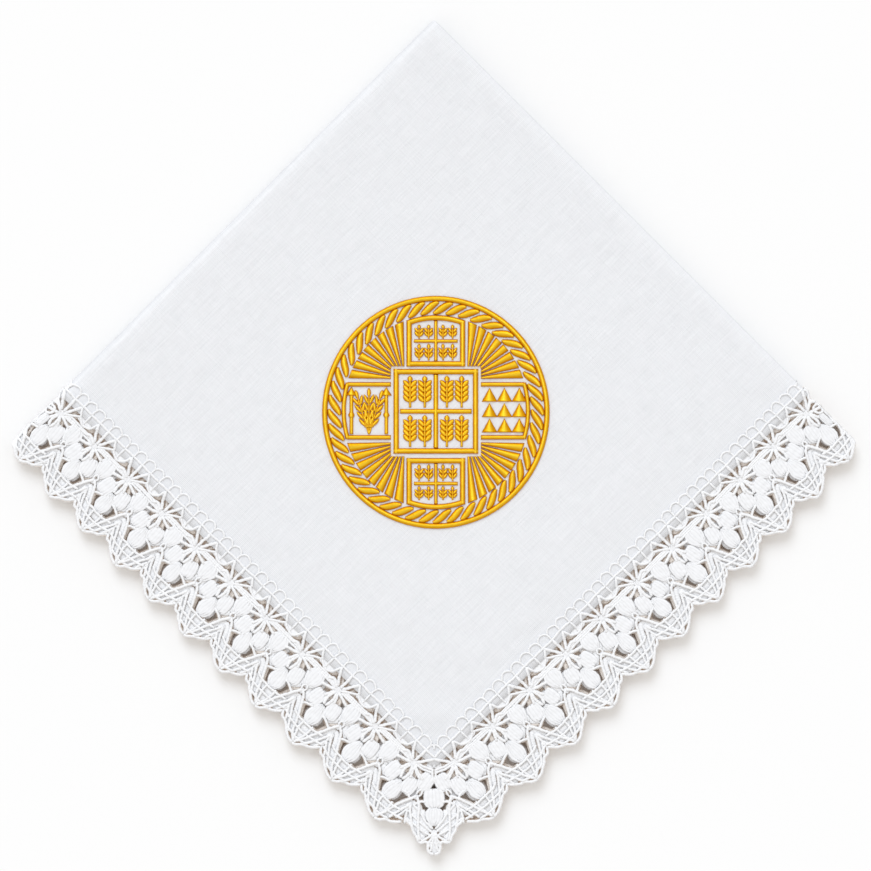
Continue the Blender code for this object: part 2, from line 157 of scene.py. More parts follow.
# The crocheted pattern in millimetres: along the edge from the star, and out from the hem.
# Each strand is its width, how far it lies above the mid sheet, and the points it runs through.
ARCH = [(0, -3.1), (0, -5.3), (0.55, -6.9), (1.9, -7.6), (3.3, -7.55), (4.55, -6.9), (5.13, -5.6)]
ARCH_FEET = (-10.26, -5.13, 0.0, 5.13)
HEADING = [(MIDDLING, 0.0, [(-10.26, -3.35), (-5.1, -3.5), (0, -3.3), (5.1, -3.45), (10.26, -3.35)])]
STAR_STRANDS = [
    (RAY, 0.10, [(0, -3.1), (0.1, -1.0), (0, 1.2), (0, 3.9)]),
    (RAY, 0.05, [(-5.46, -2.9), (-3.2, 1.2), (-1.2, 3.9)]),
    (RAY, 0.05, [(4.8, -2.9), (2.6, 1.0), (1.0, 3.8)]),
    (RAY, 0.20, [(-1.0, 4.7), (-4.4, 2.9), (-6.4, 4.1)]),
    (RAY, 0.05, [(-1.0, 5.6), (-3.9, 6.6), (-7.0, 7.5)]),
    (RAY, 0.10, [(-0.8, 6.2), (-1.8, 8.2), (-2.7, 10.5)]),
    (RAY, 0.15, [(-0.4, 6.2), (-1.1, 9.0), (-1.05, 11.2), (-0.3, 13.2)]),
    (RAY, 0.15, [(0.4, 6.2), (1.1, 9.0), (1.0, 11.2), (0.3, 13.2)]),
    (RAY, 0.10, [(0.8, 6.2), (1.8, 8.2), (2.7, 10.5)]),
    (RAY, 0.05, [(1.0, 5.6), (3.9, 6.6), (7.0, 7.5)]),
]
LINK_STRANDS = [
    (MIDDLING, 0.15, [(1.0, 4.5), (4.2, 2.2), (7.0, 0.4), (6.2, -1.0), (4.8, -2.9)]),
    (MIDDLING, 0.20, [(7.0, 0.4), (8.5, 1.6), (10.3, 2.3), (12.2, 2.0), (13.9, 0.6), (15.05, -2.6)]),
    (LIGHT, 0.05, [(10.3, -3.1), (10.3, -0.5), (10.3, 2.3)]),
    (MIDDLING, -0.10, [(1.4, 3.7), (5.5, 3.3), (10.3, 3.3), (14.8, 3.35), (19.4, 3.9)]),
    (MIDDLING, -0.08, [(1.4, 4.3), (5.5, 4.1), (10.3, 4.15), (14.8, 4.1), (19.2, 4.4)]),
    (MIDDLING, -0.12, [(1.6, 5.1), (5.5, 4.95), (10.3, 5.0), (14.8, 4.95), (19.2, 5.1)]),
]
VALLEY_STRANDS = [
    (LIGHT, 0.10, [(-10.3, 12.4), (-11.3, 13.7), (-11.0, 15.3)]),
    (LIGHT, 0.10, [(-10.3, 12.4), (-9.3, 13.7), (-9.6, 15.3)]),
    (HEAVY, 0.30, [
        (-10.26, 15.2), (-11.6, 17.0), (-13.0, 19.9), (-15.4, 25.0), (-17.4, 29.8), (-19.3, 32.6),
    ]),
    (HEAVY, 0.22, [(-10.26, 15.2), (-8.2, 16.6), (-6.2, 20.2), (-3.8, 25.0), (-1.7, 29.8), (1.2, 32.9)]),
    (HEAVY, 0.20, [(-10.26, 19.9), (-11.3, 22.2), (-13.0, 25.7), (-14.7, 29.1), (-15.9, 31.0)]),
    (HEAVY, 0.12, [(-10.26, 19.9), (-8.9, 22.2), (-6.85, 25.7), (-4.1, 30.1), (-2.75, 31.2)]),
    (MIDDLING, 0.15, [(-10.1, 23.4), (-11.2, 26.2), (-12.3, 28.6)]),
    (MIDDLING, 0.15, [(-10.1, 23.4), (-8.5, 26.0), (-6.85, 28.6)]),
    (MIDDLING, 0.0, [(-10.2, 20.5), (-10.1, 24.0), (-9.9, 26.9)]),
    (MIDDLING, 0.05, [(-7.4, 19.4), (-5.5, 17.9), (-2.6, 16.9)]),
]
TIP_STRANDS = [
    (MIDDLING, 0.42, [(-7.4, 22.6), (-5.2, 23.8), (-2.0, 23.9), (0.2, 24.1), (4.0, 23.9), (8.2, 22.8)]),
    (MIDDLING, 0.40, [(-9.6, 25.6), (-6.0, 27.0), (0.5, 27.5), (5.6, 27.0), (10.4, 25.6)]),
    (MIDDLING, 0.38, [(-4.2, 30.2), (0.8, 31.0), (5.8, 30.1)]),
    (MIDDLING, 0.30, [(-1.2, 23.4), (-1.0, 27.0), (0.9, 33.0)]),
    (MIDDLING, 0.30, [(3.0, 23.0), (2.9, 27.0), (1.5, 33.0)]),
]
EDGE_STRANDS = [
    (HEAVY, 0.10, [
        (-9.8, 26.7), (-8.5, 28.6), (-6.5, 28.9), (-5.2, 30.4), (-3.6, 31.5), (-1.5, 32.9), (1.2, 33.6),
    ]),
    (HEAVY, 0.10, [(1.2, 33.6), (2.9, 33.0), (4.9, 31.0), (6.9, 30.2), (8.8, 28.6), (10.4, 26.7)]),
]
MIRROR_STRANDS = [(MIDDLING, 0.05, [(8.2, 19.4), (5.6, 17.9), (2.6, 16.9)])]

# A small ring of thread at each scallop's tip and at the corner's: its middle, and its radius
TIP_RING = (1.2, 32.1, 0.85)
CORNER_RING = (16.8, 24.9, 0.80)
RING_THREAD = 0.80
RING_LIFT = 0.20

# Flat tapes of close stitches behind the open work
STAR_TAPES = [
    (2.8, -0.50, [(-6.2, 25.3), (-3.0, 25.6), (0.4, 25.8), (4.0, 25.6), (8.0, 25.2)]),
    (2.8, -0.50, [(-4.4, 28.9), (0.6, 29.3), (6.0, 28.8)]),
    (2.2, -0.50, [(0.2, 21.0), (0.3, 24.5)]),
    (2.6, -0.50, [(-2.6, 15.6), (2.6, 15.6)]),
    (2.0, -0.50, [(-7.4, 8.8), (-7.8, 12.6)]),
    (2.0, -0.50, [(7.4, 8.8), (7.8, 12.6)]),
    (2.4, -0.50, [(-8.6, 13.9), (-5.2, 17.2)]),
]
LINK_TAPES = [
    (3.3, -0.22, [(6.4, 0.1), (8.4, 0.6), (10.3, 0.8), (12.3, 0.6), (14.2, 0.1)]),
    (3.4, -0.50, [(7.0, 12.4), (10.3, 12.2), (13.6, 12.4)]),
    (2.4, -0.50, [(5.2, 17.2), (8.6, 13.9)]),
]
VALLEY_TAPES = [
    (2.6, -0.50, [(-10.26, 17.6), (-12.3, 20.2), (-14.3, 25.2), (-16.6, 30.2)]),
    (2.5, -0.52, [(-10.26, 17.6), (-7.7, 20.0), (-5.4, 25.2), (-2.6, 30.4)]),
    (2.0, -0.54, [(-10.2, 22.4), (-11.9, 25.7), (-13.7, 29.2)]),
    (2.0, -0.56, [(-10.2, 22.4), (-8.1, 25.7), (-5.4, 29.4)]),
]

# Petals: where the middle is along and out, width across, length, turn in degrees, shape
FAN = "fan"
LEAF = "leaf"
SQUARE = "square"
KNOT = "knot"
PETALS = [
    (0.0, 18.7, 7.1, 9.7, 0, LEAF),
    (-4.3, 13.1, 6.7, 7.4, 8, SQUARE),
    (4.3, 13.1, 6.7, 7.4, -8, SQUARE),
    (0.0, 5.1, 3.3, 3.3, 0, KNOT),
]
LINK_PETALS = [(10.3, 8.9, 7.9, 8.5, 0, FAN)]
VALLEY_PETALS = [(-10.26, 15.7, 2.6, 2.4, 0, KNOT), (-10.3, 21.0, 3.0, 4.0, 0, KNOT)]
# Where the first repeat meets the fold, and the strand that runs down the folded edge
FOLD_PETAL = (-3.9, 13.2, 3.3, 6.6, 0, SQUARE)
FOLD_STRANDS = [
    (MIDDLING, 0.05, [(0.5, -2.9), (0.2, -0.5), (1.4, 1.6), (0.5, 3.8), (0.9, 5.6)]),
    (HEAVY, 0.05, [(0.5, 5.0), (0.1, 7.5), (0.6, 9.4), (0.2, 12.0), (0.7, 14.4), (0.3, 17.0), (0.9, 19.2)]),
    (HEAVY, 0.05, [
        (0.9, 19.2), (0.4, 21.6), (0.9, 23.6), (0.5, 25.4), (1.5, 27.2), (3.6, 28.7), (5.3, 29.9),
    ]),
    (LIGHT, 0.10, [(1.4, 1.6), (3.4, 3.2), (5.4, 4.8)]),
    (MIDDLING, 0.10, [(0.6, 5.2), (2.2, 5.0), (3.3, 6.3), (2.9, 8.2), (1.5, 8.9), (0.5, 8.1)]),
]
# The corner, in millimetres along and out from the hem's corner. It is worked again as its mirror image.
CORNER_STRANDS = [
    (MIDDLING, 0.05, [(-7.6, 3.4), (-3.6, 2.3), (0.4, 0.5)]),
    (MIDDLING, 0.00, [(-7.4, 4.2), (-3.0, 3.3), (1.2, 1.4)]),
    (MIDDLING, 0.10, [(-6.2, 5.2), (-3.6, 6.3), (-0.9, 7.2)]),
    (MIDDLING, 0.05, [(-0.4, 0.3), (1.6, 2.6), (4.0, 4.0)]),
    (LIGHT, 0.10, [(2.6, 9.4), (1.9, 11.0), (2.2, 12.6)]),
    (LIGHT, 0.10, [(2.6, 9.4), (3.6, 11.0), (3.6, 12.6)]),
    (HEAVY, 0.30, [(2.9, 13.0), (1.2, 16.6), (-0.5, 21.0), (-1.9, 26.4), (-3.6, 30.6)]),
    (HEAVY, 0.24, [(2.9, 13.0), (6.3, 15.1), (10.2, 19.4), (13.7, 22.9), (16.6, 25.2)]),
    (HEAVY, 0.20, [(3.3, 17.4), (1.9, 22.6), (0.8, 27.2)]),
    (HEAVY, 0.14, [(3.3, 17.4), (7.2, 20.8), (11.2, 23.8)]),
    (MIDDLING, 0.10, [(3.8, 19.4), (3.4, 22.5), (3.0, 25.4)]),
    (MIDDLING, 0.10, [(3.8, 19.4), (5.6, 22.0), (7.2, 24.4)]),
    (MIDDLING, 0.00, [(4.2, 16.4), (9.1, 16.9), (13.0, 17.8), (17.2, 17.8)]),
    (MIDDLING, -0.05, [(4.0, 19.6), (8.0, 19.8), (13.0, 19.4), (18.2, 18.9)]),
    (MIDDLING, -0.08, [(5.6, 22.4), (10.6, 21.9), (15.3, 21.4), (18.4, 20.2)]),
    (MIDDLING, 0.05, [(4.6, 16.2), (5.6, 13.4), (7.4, 12.0)]),
    (MIDDLING, 0.05, [(1.4, 15.6), (-0.6, 14.8), (-2.6, 15.3)]),
    (HEAVY, 0.10, [(5.4, 22.6), (7.6, 23.2), (9.8, 23.0), (11.8, 24.2), (14.2, 24.6), (16.6, 25.8)]),
    (HEAVY, 0.12, [
        (16.6, 25.8), (18.0, 24.9), (18.8, 23.4), (20.0, 23.6), (21.4, 25.0), (23.2, 25.6), (24.7, 24.9),
    ]),
    (MIDDLING, 0.15, [(18.6, 18.6), (18.3, 21.2), (17.3, 25.6)]),
    (MIDDLING, 0.18, [(18.6, 18.6), (19.6, 21.6), (20.2, 24.0)]),
    (MIDDLING, 0.22, [(18.6, 18.6), (21.2, 22.4), (23.0, 25.2)]),
    (MIDDLING, 0.05, [(19.4, 23.0), (20.6, 22.4), (22.0, 22.0)]),
]
CORNER_TAPES = [
    (2.5, -0.50, [(3.1, 15.4), (1.8, 19.0), (0.2, 24.0), (-1.2, 28.0)]),
    (2.5, -0.52, [(3.1, 15.4), (6.9, 18.2), (10.6, 21.6), (13.6, 23.8)]),
    (2.4, -0.54, [(3.4, 19.2), (3.4, 21.8), (3.6, 23.2)]),
    (2.4, -0.56, [(4.6, 19.6), (6.0, 21.4), (7.4, 22.2)]),
    (2.6, -0.50, [(8.6, 18.0), (13.0, 18.7), (17.2, 19.2)]),
    (2.6, -0.52, [(9.6, 20.4), (14.0, 20.8), (17.6, 21.2)]),
    (2.4, -0.54, [(13.0, 22.8), (15.5, 23.6), (17.4, 23.0)]),
    (2.2, -0.50, [(5.4, 14.8), (7.6, 16.0), (9.6, 18.0)]),
    (3.0, -0.46, [(8.4, 15.6), (10.6, 17.2), (13.0, 18.8)]),
    (2.6, -0.50, [(-3.2, 1.0), (-0.6, -0.4)]),
]
CORNER_PETALS = [
    (1.4, 6.4, 6.9, 7.4, -14, SQUARE),
    (3.1, 13.4, 2.2, 2.2, 0, KNOT),
    (3.4, 18.0, 2.6, 3.4, 0, KNOT),
    (20.6, 23.6, 1.9, 2.6, -20, KNOT),
]
DIAGONAL_PETALS = [
    (8.6, 8.6, 9.2, 8.0, -45, SQUARE),
    (14.0, 14.0, 8.0, 7.6, -45, FAN),
    (18.6, 18.6, 2.6, 2.6, -45, KNOT),
    (22.3, 22.3, 3.3, 6.2, -45, LEAF),
]

# A petal's half width and height along it, as shares
PETAL_WIDTHS = {
    FAN: [(0, 0.50), (0.07, 0.82), (0.25, 1.0), (0.45, 1.0), (0.7, 0.82), (0.88, 0.58), (1, 0.32)],
    LEAF: [
        (0, 0.26), (0.1, 0.54), (0.28, 0.82), (0.5, 0.98),
        (0.68, 1.0), (0.84, 0.86), (0.95, 0.66), (1, 0.42),
    ],
    SQUARE: [(0, 0.62), (0.07, 0.86), (0.25, 0.96), (0.5, 0.98), (0.75, 0.96), (0.93, 0.86), (1, 0.62)],
    KNOT: [(0, 0.3), (0.2, 0.8), (0.5, 1), (0.8, 0.8), (1, 0.3)],
}
PETAL_HEIGHTS = [
    (0, 0.3), (0.05, 0.74), (0.14, 0.94), (0.4, 1.0), (0.6, 1.0), (0.86, 0.94), (0.95, 0.74), (1, 0.3),
]
PETAL_RIDGES = {FAN: 6, LEAF: 6, SQUARE: 5, KNOT: 3}

# How many rings of points a petal has along it, and across when it has no ridges
PETAL_STATIONS = 17
KNOT_STATIONS = 7
PLAIN_STATIONS = 6
PLAIN_COLUMNS = 5

# How far the places across one ridge stand under or over the petal's crown. LOBE is how far they stop
# short of its ends or pass them in step with that, and KNOB and KNOBS are the height and count of its knobs.
RIDGE = [-0.32, 0.0, 0.12, 0.0]
LOBE = 0.75
KNOB = 0.06
KNOBS = 2.6

# A petal's underside: its height, how thick the rim is, where its points lie across, how far its ends lift
PETAL_LOW = -0.35
PETAL_RIM = 0.30
PETAL_UNDER = [0.8, 0.0, -0.8]
END_LIFT = 0.12
FOLD_CLEAR = 0.05

# How petals differ: in size, in degrees turned, in the widths and depths of ridges, and point by point
PETAL_VARIES = 0.03
PETAL_TURNS = 3
RIDGE_WIDTHS = (0.7, 1.3)
RIDGE_DEPTHS = (0.3, 1.0)
ROUGH_UP = 0.03
ROUGH_ACROSS = 0.05
ROUGH_ALONG = 0.06

# How each quarter of the lace is worked: the sides that it lies on, how far its loose edges have slipped
# along, the distance between points along a strand, how many sides a strand has, and how thick it is
# against the chart
QUARTERS = {
    "lace_top": {"signs": (1, 1), "slip": 0.0, "step": 0.64, "sides": 5, "thread": 1.0, "seed": 11},
    "lace_second": {"signs": (-1, 1), "slip": 1.1, "step": 1.3, "sides": 4, "thread": 1.20, "seed": 12},
    "lace_third": {"signs": (-1, -1), "slip": -1.1, "step": 1.3, "sides": 4, "thread": 1.20, "seed": 13},
    "lace_bottom": {"signs": (1, -1), "slip": 0.3, "step": 1.3, "sides": 4, "thread": 1.16, "seed": 14},
}
# The layers between take a darker, warmer colour: painted shade for the depth of the folded stack
BETWEEN = ("lace_second", "lace_third")

# The embroidery, in metres from its own centre: x to the right and y up as the towel lies
RING_X = 0.0455
RING_Y = 0.0466
RING_WIDE = 0.0023
ROPE_X = 0.0416
ROPE_Y = 0.0428
ROPE_TWISTS = 48
TWIST_LINE = [(-4.0, -2.25), (-2.9, -1.95), (-1.4, -1.1), (0, 0), (1.4, 1.1), (2.9, 1.95), (4.0, 2.25)]
TWIST_HALF_WIDTHS = [0.50, 1.20, 1.50, 1.56, 1.50, 1.20, 0.50]

# Frames and crosses: how far each reaches from the emblem's centre, and how wide its stitches are
CENTRE_HALF = 0.0174
CENTRE_UP = 0.0004
FRAME_WIDE = 0.0023
CENTRE_CROSS_WIDE = 0.0020
CENTRE_CROSS_CLEAR = 0.0004
PANEL_HALF = 0.0121
PANEL_START = 0.0187
PANEL_SHOULDER = 0.0380
PANEL_CROWN = 0.0399
PANEL_CROSS_WIDE = 0.0015
PANEL_CROSS_CLEAR = 0.0008
PANEL_CROSS_MIDDLE = 0.0292
SIDE_START = 0.0184
SIDE_SHOULDER = 0.0372
SIDE_CROWN = 0.0387
SIDE_TOP = 0.0124
SIDE_BOTTOM = -0.0112
SIDE_WIDE = 0.0019
# Places along an arch, from just outside one foot to just outside the other
PANEL_BOW = np.linspace(-1.08, 1.08, 11)
SIDE_BOW = np.linspace(-1.06, 1.06, 9)

# The right panel's triangles: their bases, middles, half width and height, and half the width of a point
TRIANGLE_BASES = [0.0043, -0.0020, -0.0083]
TRIANGLE_MIDDLES = [0.0220, 0.0281, 0.0342]
TRIANGLE_HALF = 0.0033
TRIANGLE_HIGH = 0.0058
POINT_HALF = 0.00005

# Rays: how many in a fan, the share of each that is gap, where they start from, how far they reach and how
# clear they are of the centre frame
RAYS = 8
RAY_GAP = 0.13
RAY_ROOT_X = 0.0128
RAY_ROOT_TOP = 0.0136
RAY_ROOT_BOTTOM = -0.0122
RAY_REACH_X = 0.0385
RAY_REACH_Y = 0.0396
RAY_CLEAR = 0.0010

# Wheat ears and their grains: lengths are shares of the step from grain to grain, widths of the ear's
EAR_PLACES = (-0.70, -0.30, 0.30, 0.70)
EAR_FILL = 0.93
EAR_WIDE = 0.0056
SMALL_EAR_WIDE = 0.0037
EAR_PAIRS = 4
SMALL_EAR_PAIRS = 2
EAR_OVERRUN = 0.0005
STEM_SHARE = 0.22
STEM_WIDE = 0.13
GRAIN_DROP = 0.25
GRAIN_LONG = 1.35
GRAIN_IN = 0.05
GRAIN_HALF = 0.17
TOP_GRAIN_LONG = 1.3
TOP_GRAIN_HALF = 0.18
GRAIN_HALF_WIDTHS = [0.4, 0.95, 1.2, 0.95, 0.2]

# The left panel's sheaf of three ears with its tie, and its spears
SHEAF_X = -0.0274
SHEAF_EAR_WIDE = 0.0042
SHEAF_HIGH = 0.0190
SHEAF_LEAN = 0.30
TIE_UP = 0.0036
TIE_HALF = 0.0019
TIE_WIDE = 0.0010
SPEAR_PLACES = (-0.0346, -0.0203)
SPEAR_TOP = 0.0104
SPEAR_HALF = 0.0008
SPEAR_HEAD_HALF = 0.0023
SPEAR_HEAD_HIGH = 0.0036
SPEAR_INTO = 0.0004
SPEAR_BOSS = 0.0014

# Satin stitch: how high it stands on each kind of bar, the distance between its points, how far its edges
# sink into the linen, and how ragged they are
BAR_HIGH = 0.00110
UPRIGHT_HIGH = BAR_HIGH * 1.06
BOW_HIGH = BAR_HIGH * 1.05
CROSS_HIGH = 0.00095
CROSSBAR_HIGH = CROSS_HIGH * 0.92
BOSS_HIGH = CROSS_HIGH * 1.15
MOTIF_HIGH = 0.00085
SATIN_STEP = 0.00021
SATIN_SUNK = 0.00012
UNDER_SUNK = 1.6 * SATIN_SUNK
SATIN_RAGGED = 0.000022
OVERLAP = 0.0003

# Its cross-section, and which of those places the underside has too. It stands lower where it is narrower
# than its full width and near its ends, and every other stitch stands a little higher.
SATIN_SECTION = np.array([-1.0, -0.93, -0.74, -0.42, 0.0, 0.42, 0.74, 0.93, 1.0])
SATIN_UNDER = [6, 2]
FULL_WIDTH = 0.0011
NARROW_SHARE = 0.25
END_ROUND = 0.0004
END_RISE = 0.12
STITCH_RISE = 0.045

# Round a satin stitch, as shares: the middle of its top, and how far off that its crown's painted highlight
# and its edges' painted shade lie
SATIN_MIDDLE = 0.36
SATIN_PAINTED_HIGHLIGHT = (0.01, 0.13)
SATIN_PAINTED_SHADE = (0.22, 0.36)

# Beside the linen's folds: the band of painted light, in metres, the rim of painted shade, in shares of the
# bend's radius, and what the rim's value rises to beyond it
FOLD_PAINTED_LIGHT_BAND = (0.003, 0.007)
RIM_PAINTED_SHADE_BAND = (0.4, 1.7)
RIM_FREE = 0.1

# The size of the soft patches in each material
LINEN_PATCH = 0.03
COTTON_PATCH = 0.004
GOLD_PATCH = 0.003

# How finely noise is drawn out along and across: slubs in each direction, and fibres in two kinds of thread
WARP_SLUBS = (1700, 130, 1)
WEFT_SLUBS = (85, 1500, 1)
PLY_FIBRES = (2500, 14, 1)
ROW_FIBRES = (420, 5, 1)

# The stage: the photograph's width on the table and its middle, the window and the floor
VIEW_WIDE = 0.35755
VIEW_MIDDLE = (0.00062, 0.00085)
SENSOR_WIDE = 36.0
WINDOW_PLACE = (-0.30, 1.08, 1.15)
FLOOR_SIZE = 8


def world_turn(x, y):
    """A place on the folded towel, turned as the towel lies."""
    return cos(LAY_TURN) * x - sin(LAY_TURN) * y, sin(LAY_TURN) * x + cos(LAY_TURN) * y


def emblem_middle():
    low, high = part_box("emblem_ring")
    return (low.x + high.x) / 2, (low.y + high.y) / 2


def towel_shift():
    """The move from the fold's own place to the world, read from where the solids have the emblem."""
    fold_x = EMBLEM_U - FIRST_BEND * (pi / 2 - 1)
    fold_y = EMBLEM_V - SECOND_BEND * (pi / 2 - 1)
    turned = world_turn(fold_x, fold_y)
    middle = emblem_middle()
    return middle[0] - turned[0], middle[1] - turned[1], TOP_FACE


SHIFT = towel_shift()


def smooth_step(value):
    share = np.clip(value, 0, 1)
    return share * share * (3 - 2 * share)


def wave_height(x, y, puff):
    """How far the folded towel stands up off the table at a place, on its top face."""
    height = np.full(np.shape(x), 0.5)
    for length, degrees, start, share in WAVES:
        across = x * cos(radians(degrees)) + y * sin(radians(degrees))
        height = height + share * 0.5 * np.sin(tau * across / length + start)
    calm = 1 - CALM_SHARE * smooth_step((np.maximum(x, y) - CALM_FROM) / CALM_OVER)
    height = puff * calm * height
    for middle_x, middle_y, degrees, length, width, lift in CREASES:
        along = (x - middle_x) * cos(radians(degrees)) + (y - middle_y) * sin(radians(degrees))
        across = (y - middle_y) * cos(radians(degrees)) - (x - middle_x) * sin(radians(degrees))
        height = height + lift * np.exp(-((along / length) ** 2) - (across / width) ** 2)
    return height


def fold(flat, puff):
    """Where places (u, v, n) of the open towel lie in the world, once it is folded in quarters."""
    u, v, n = flat[..., 0], flat[..., 1], flat[..., 2]
    turn = np.clip(u / FIRST_BEND, -pi / 2, pi / 2)
    past = np.maximum(0, np.abs(u) - FIRST_BEND * pi / 2)
    x = FIRST_BEND + past - (FIRST_BEND + n) * np.cos(turn)
    rise = (FIRST_BEND + n) * np.sin(turn)
    turn = np.clip(v / SECOND_BEND, -pi / 2, pi / 2)
    past = np.maximum(0, np.abs(v) - SECOND_BEND * pi / 2)
    y = SECOND_BEND + past - (SECOND_BEND + rise) * np.cos(turn)
    z = (SECOND_BEND + rise) * np.sin(turn) + SHIFT[2]
    z = np.where(z < PRESSED, PRESSED * np.exp(np.minimum(z / PRESSED - 1, 0)), z)
    z = z + wave_height(x, y, puff) * z / (2 * TOP_FACE)
    turned = world_turn(x, y)
    return np.stack([turned[0] + SHIFT[0], turned[1] + SHIFT[1], z], -1)


def cloth_top(x, y, puff):
    """The height of the linen's top face at a place in the world."""
    from_x, from_y = x - SHIFT[0], y - SHIFT[1]
    fold_x = cos(LAY_TURN) * from_x + sin(LAY_TURN) * from_y
    fold_y = cos(LAY_TURN) * from_y - sin(LAY_TURN) * from_x
    return 2 * TOP_FACE + wave_height(fold_x, fold_y, puff)


class Gathered:
    """Many small shapes gathered for one mesh, with each thread's own coordinates at its face corners."""

    def __init__(self):
        self.points = []
        self.corners = []
        self.sizes = []
        self.coordinates = []
        self.count = 0

    def add(self, points, *faces):
        """Takes an array of points, and pairs of faces (by point) and coordinates (by corner)."""
        for indices, coordinates in faces:
            self.corners.append((indices + self.count).ravel())
            self.sizes.append(np.full(len(indices), indices.shape[1]))
            self.coordinates.append(coordinates.reshape(-1, 2))
        self.points.append(points.reshape(-1, 3))
        self.count += len(self.points[-1])

    def sweep(self, rings, along, across, flip=False, closed=False):
        """A closed skin over rings of points: capped at both ends, or joined end to end."""
        count, sides = rings.shape[:2]
        i = np.arange(count if closed else count - 1)[:, None]
        j = np.arange(sides)[None, :]
        here, beside = j + 0 * i, (j + 1) % sides + 0 * i
        this, following = sides * i, sides * ((i + 1) % count)
        quads = np.stack([this + here, this + beside, following + beside, following + here], -1)
        across = np.append(across, across[0] + 1.0)
        length = np.append(along, along[-1] + along[1] - along[0])
        corner_along = np.stack([length[i], length[i], length[i + 1], length[i + 1]], -1) + 0 * quads
        corner_across = np.stack([across[j], across[j + 1], across[j + 1], across[j]], -1) + 0 * quads
        coordinates = np.stack([corner_along, corner_across], -1)
        faces = [(quads.reshape(-1, 4), coordinates.reshape(-1, 4, 2))]
        points = rings.reshape(-1, 3)
        if not closed:
            ends = np.stack([rings[0].mean(0), rings[-1].mean(0)])
            points = np.vstack([points, ends])
            first, last = count * sides, count * sides + 1
            j = np.arange(sides)
            start = np.stack([np.full(sides, first), (j + 1) % sides, j], -1)
            ring = (count - 1) * sides
            end = np.stack([np.full(sides, last), ring + j, ring + (j + 1) % sides], -1)
            faces.append((start, np.tile([along[0], 0.5], (sides, 3, 1))))
            faces.append((end, np.tile([along[-1], 0.5], (sides, 3, 1))))
        if flip:
            faces = [(indices[:, ::-1], coordinates[:, ::-1]) for indices, coordinates in faces]
        self.add(points, *faces)

    def mesh(self, name):
        corners = np.concatenate(self.corners).astype(np.int32)
        sizes = np.concatenate(self.sizes)
        starts = np.concatenate([[0], np.cumsum(sizes)[:-1]]).astype(np.int32)
        points = np.concatenate(self.points).astype(np.float32)
        mesh = bpy.data.meshes.new(name)
        mesh.vertices.add(len(points))
        mesh.vertices.foreach_set("co", points.ravel())
        mesh.loops.add(len(corners))
        mesh.loops.foreach_set("vertex_index", corners)
        mesh.polygons.add(len(starts))
        mesh.polygons.foreach_set("loop_start", starts)
        mesh.polygons.foreach_set("use_smooth", np.ones(len(starts), bool))
        layer = mesh.uv_layers.new(name="thread")
        layer.uv.foreach_set("vector", np.concatenate(self.coordinates).astype(np.float32).ravel())
        mesh.update(calc_edges=True)
        if mesh.validate(verbose=False):
            raise RuntimeError(f"{name} had faces that don't hold together")
        return mesh


def smooth_line(points, step):
    """A smooth line through charted points with a point at each step, and the length run up to each."""
    path = np.asarray(points, float)
    if len(path) > 2:
        ends = np.vstack([2 * path[0] - path[1], path, 2 * path[-1] - path[-2]])
        t = np.linspace(0, 1, 9)[:-1, None]
        pieces = []
        for a, b, c, d in zip(ends, ends[1:], ends[2:], ends[3:]):
            bend = (2 * a - 5 * b + 4 * c - d) * t * t + (3 * b - a - 3 * c + d) * t * t * t
            pieces.append(b + 0.5 * ((c - a) * t + bend))
        path = np.vstack(pieces + [path[-1:]])
    run = np.append(0, np.cumsum(np.linalg.norm(np.diff(path, axis=0), axis=1)))
    at = np.linspace(0, run[-1], max(3, int(round(run[-1] / step)) + 1))
    return np.stack([np.interp(at, run, path[:, i]) for i in range(path.shape[1])], -1), at


def side_ways(line, closed=False):
    """The unit direction to the left of a flat line at each of its points."""
    if closed:
        ahead = np.roll(line, -1, 0) - np.roll(line, 1, 0)
    else:
        ahead = np.gradient(line, axis=0)
    ahead = ahead / np.maximum(np.linalg.norm(ahead, axis=1), 1e-12)[:, None]
    return np.stack([-ahead[:, 1], ahead[:, 0]], -1)


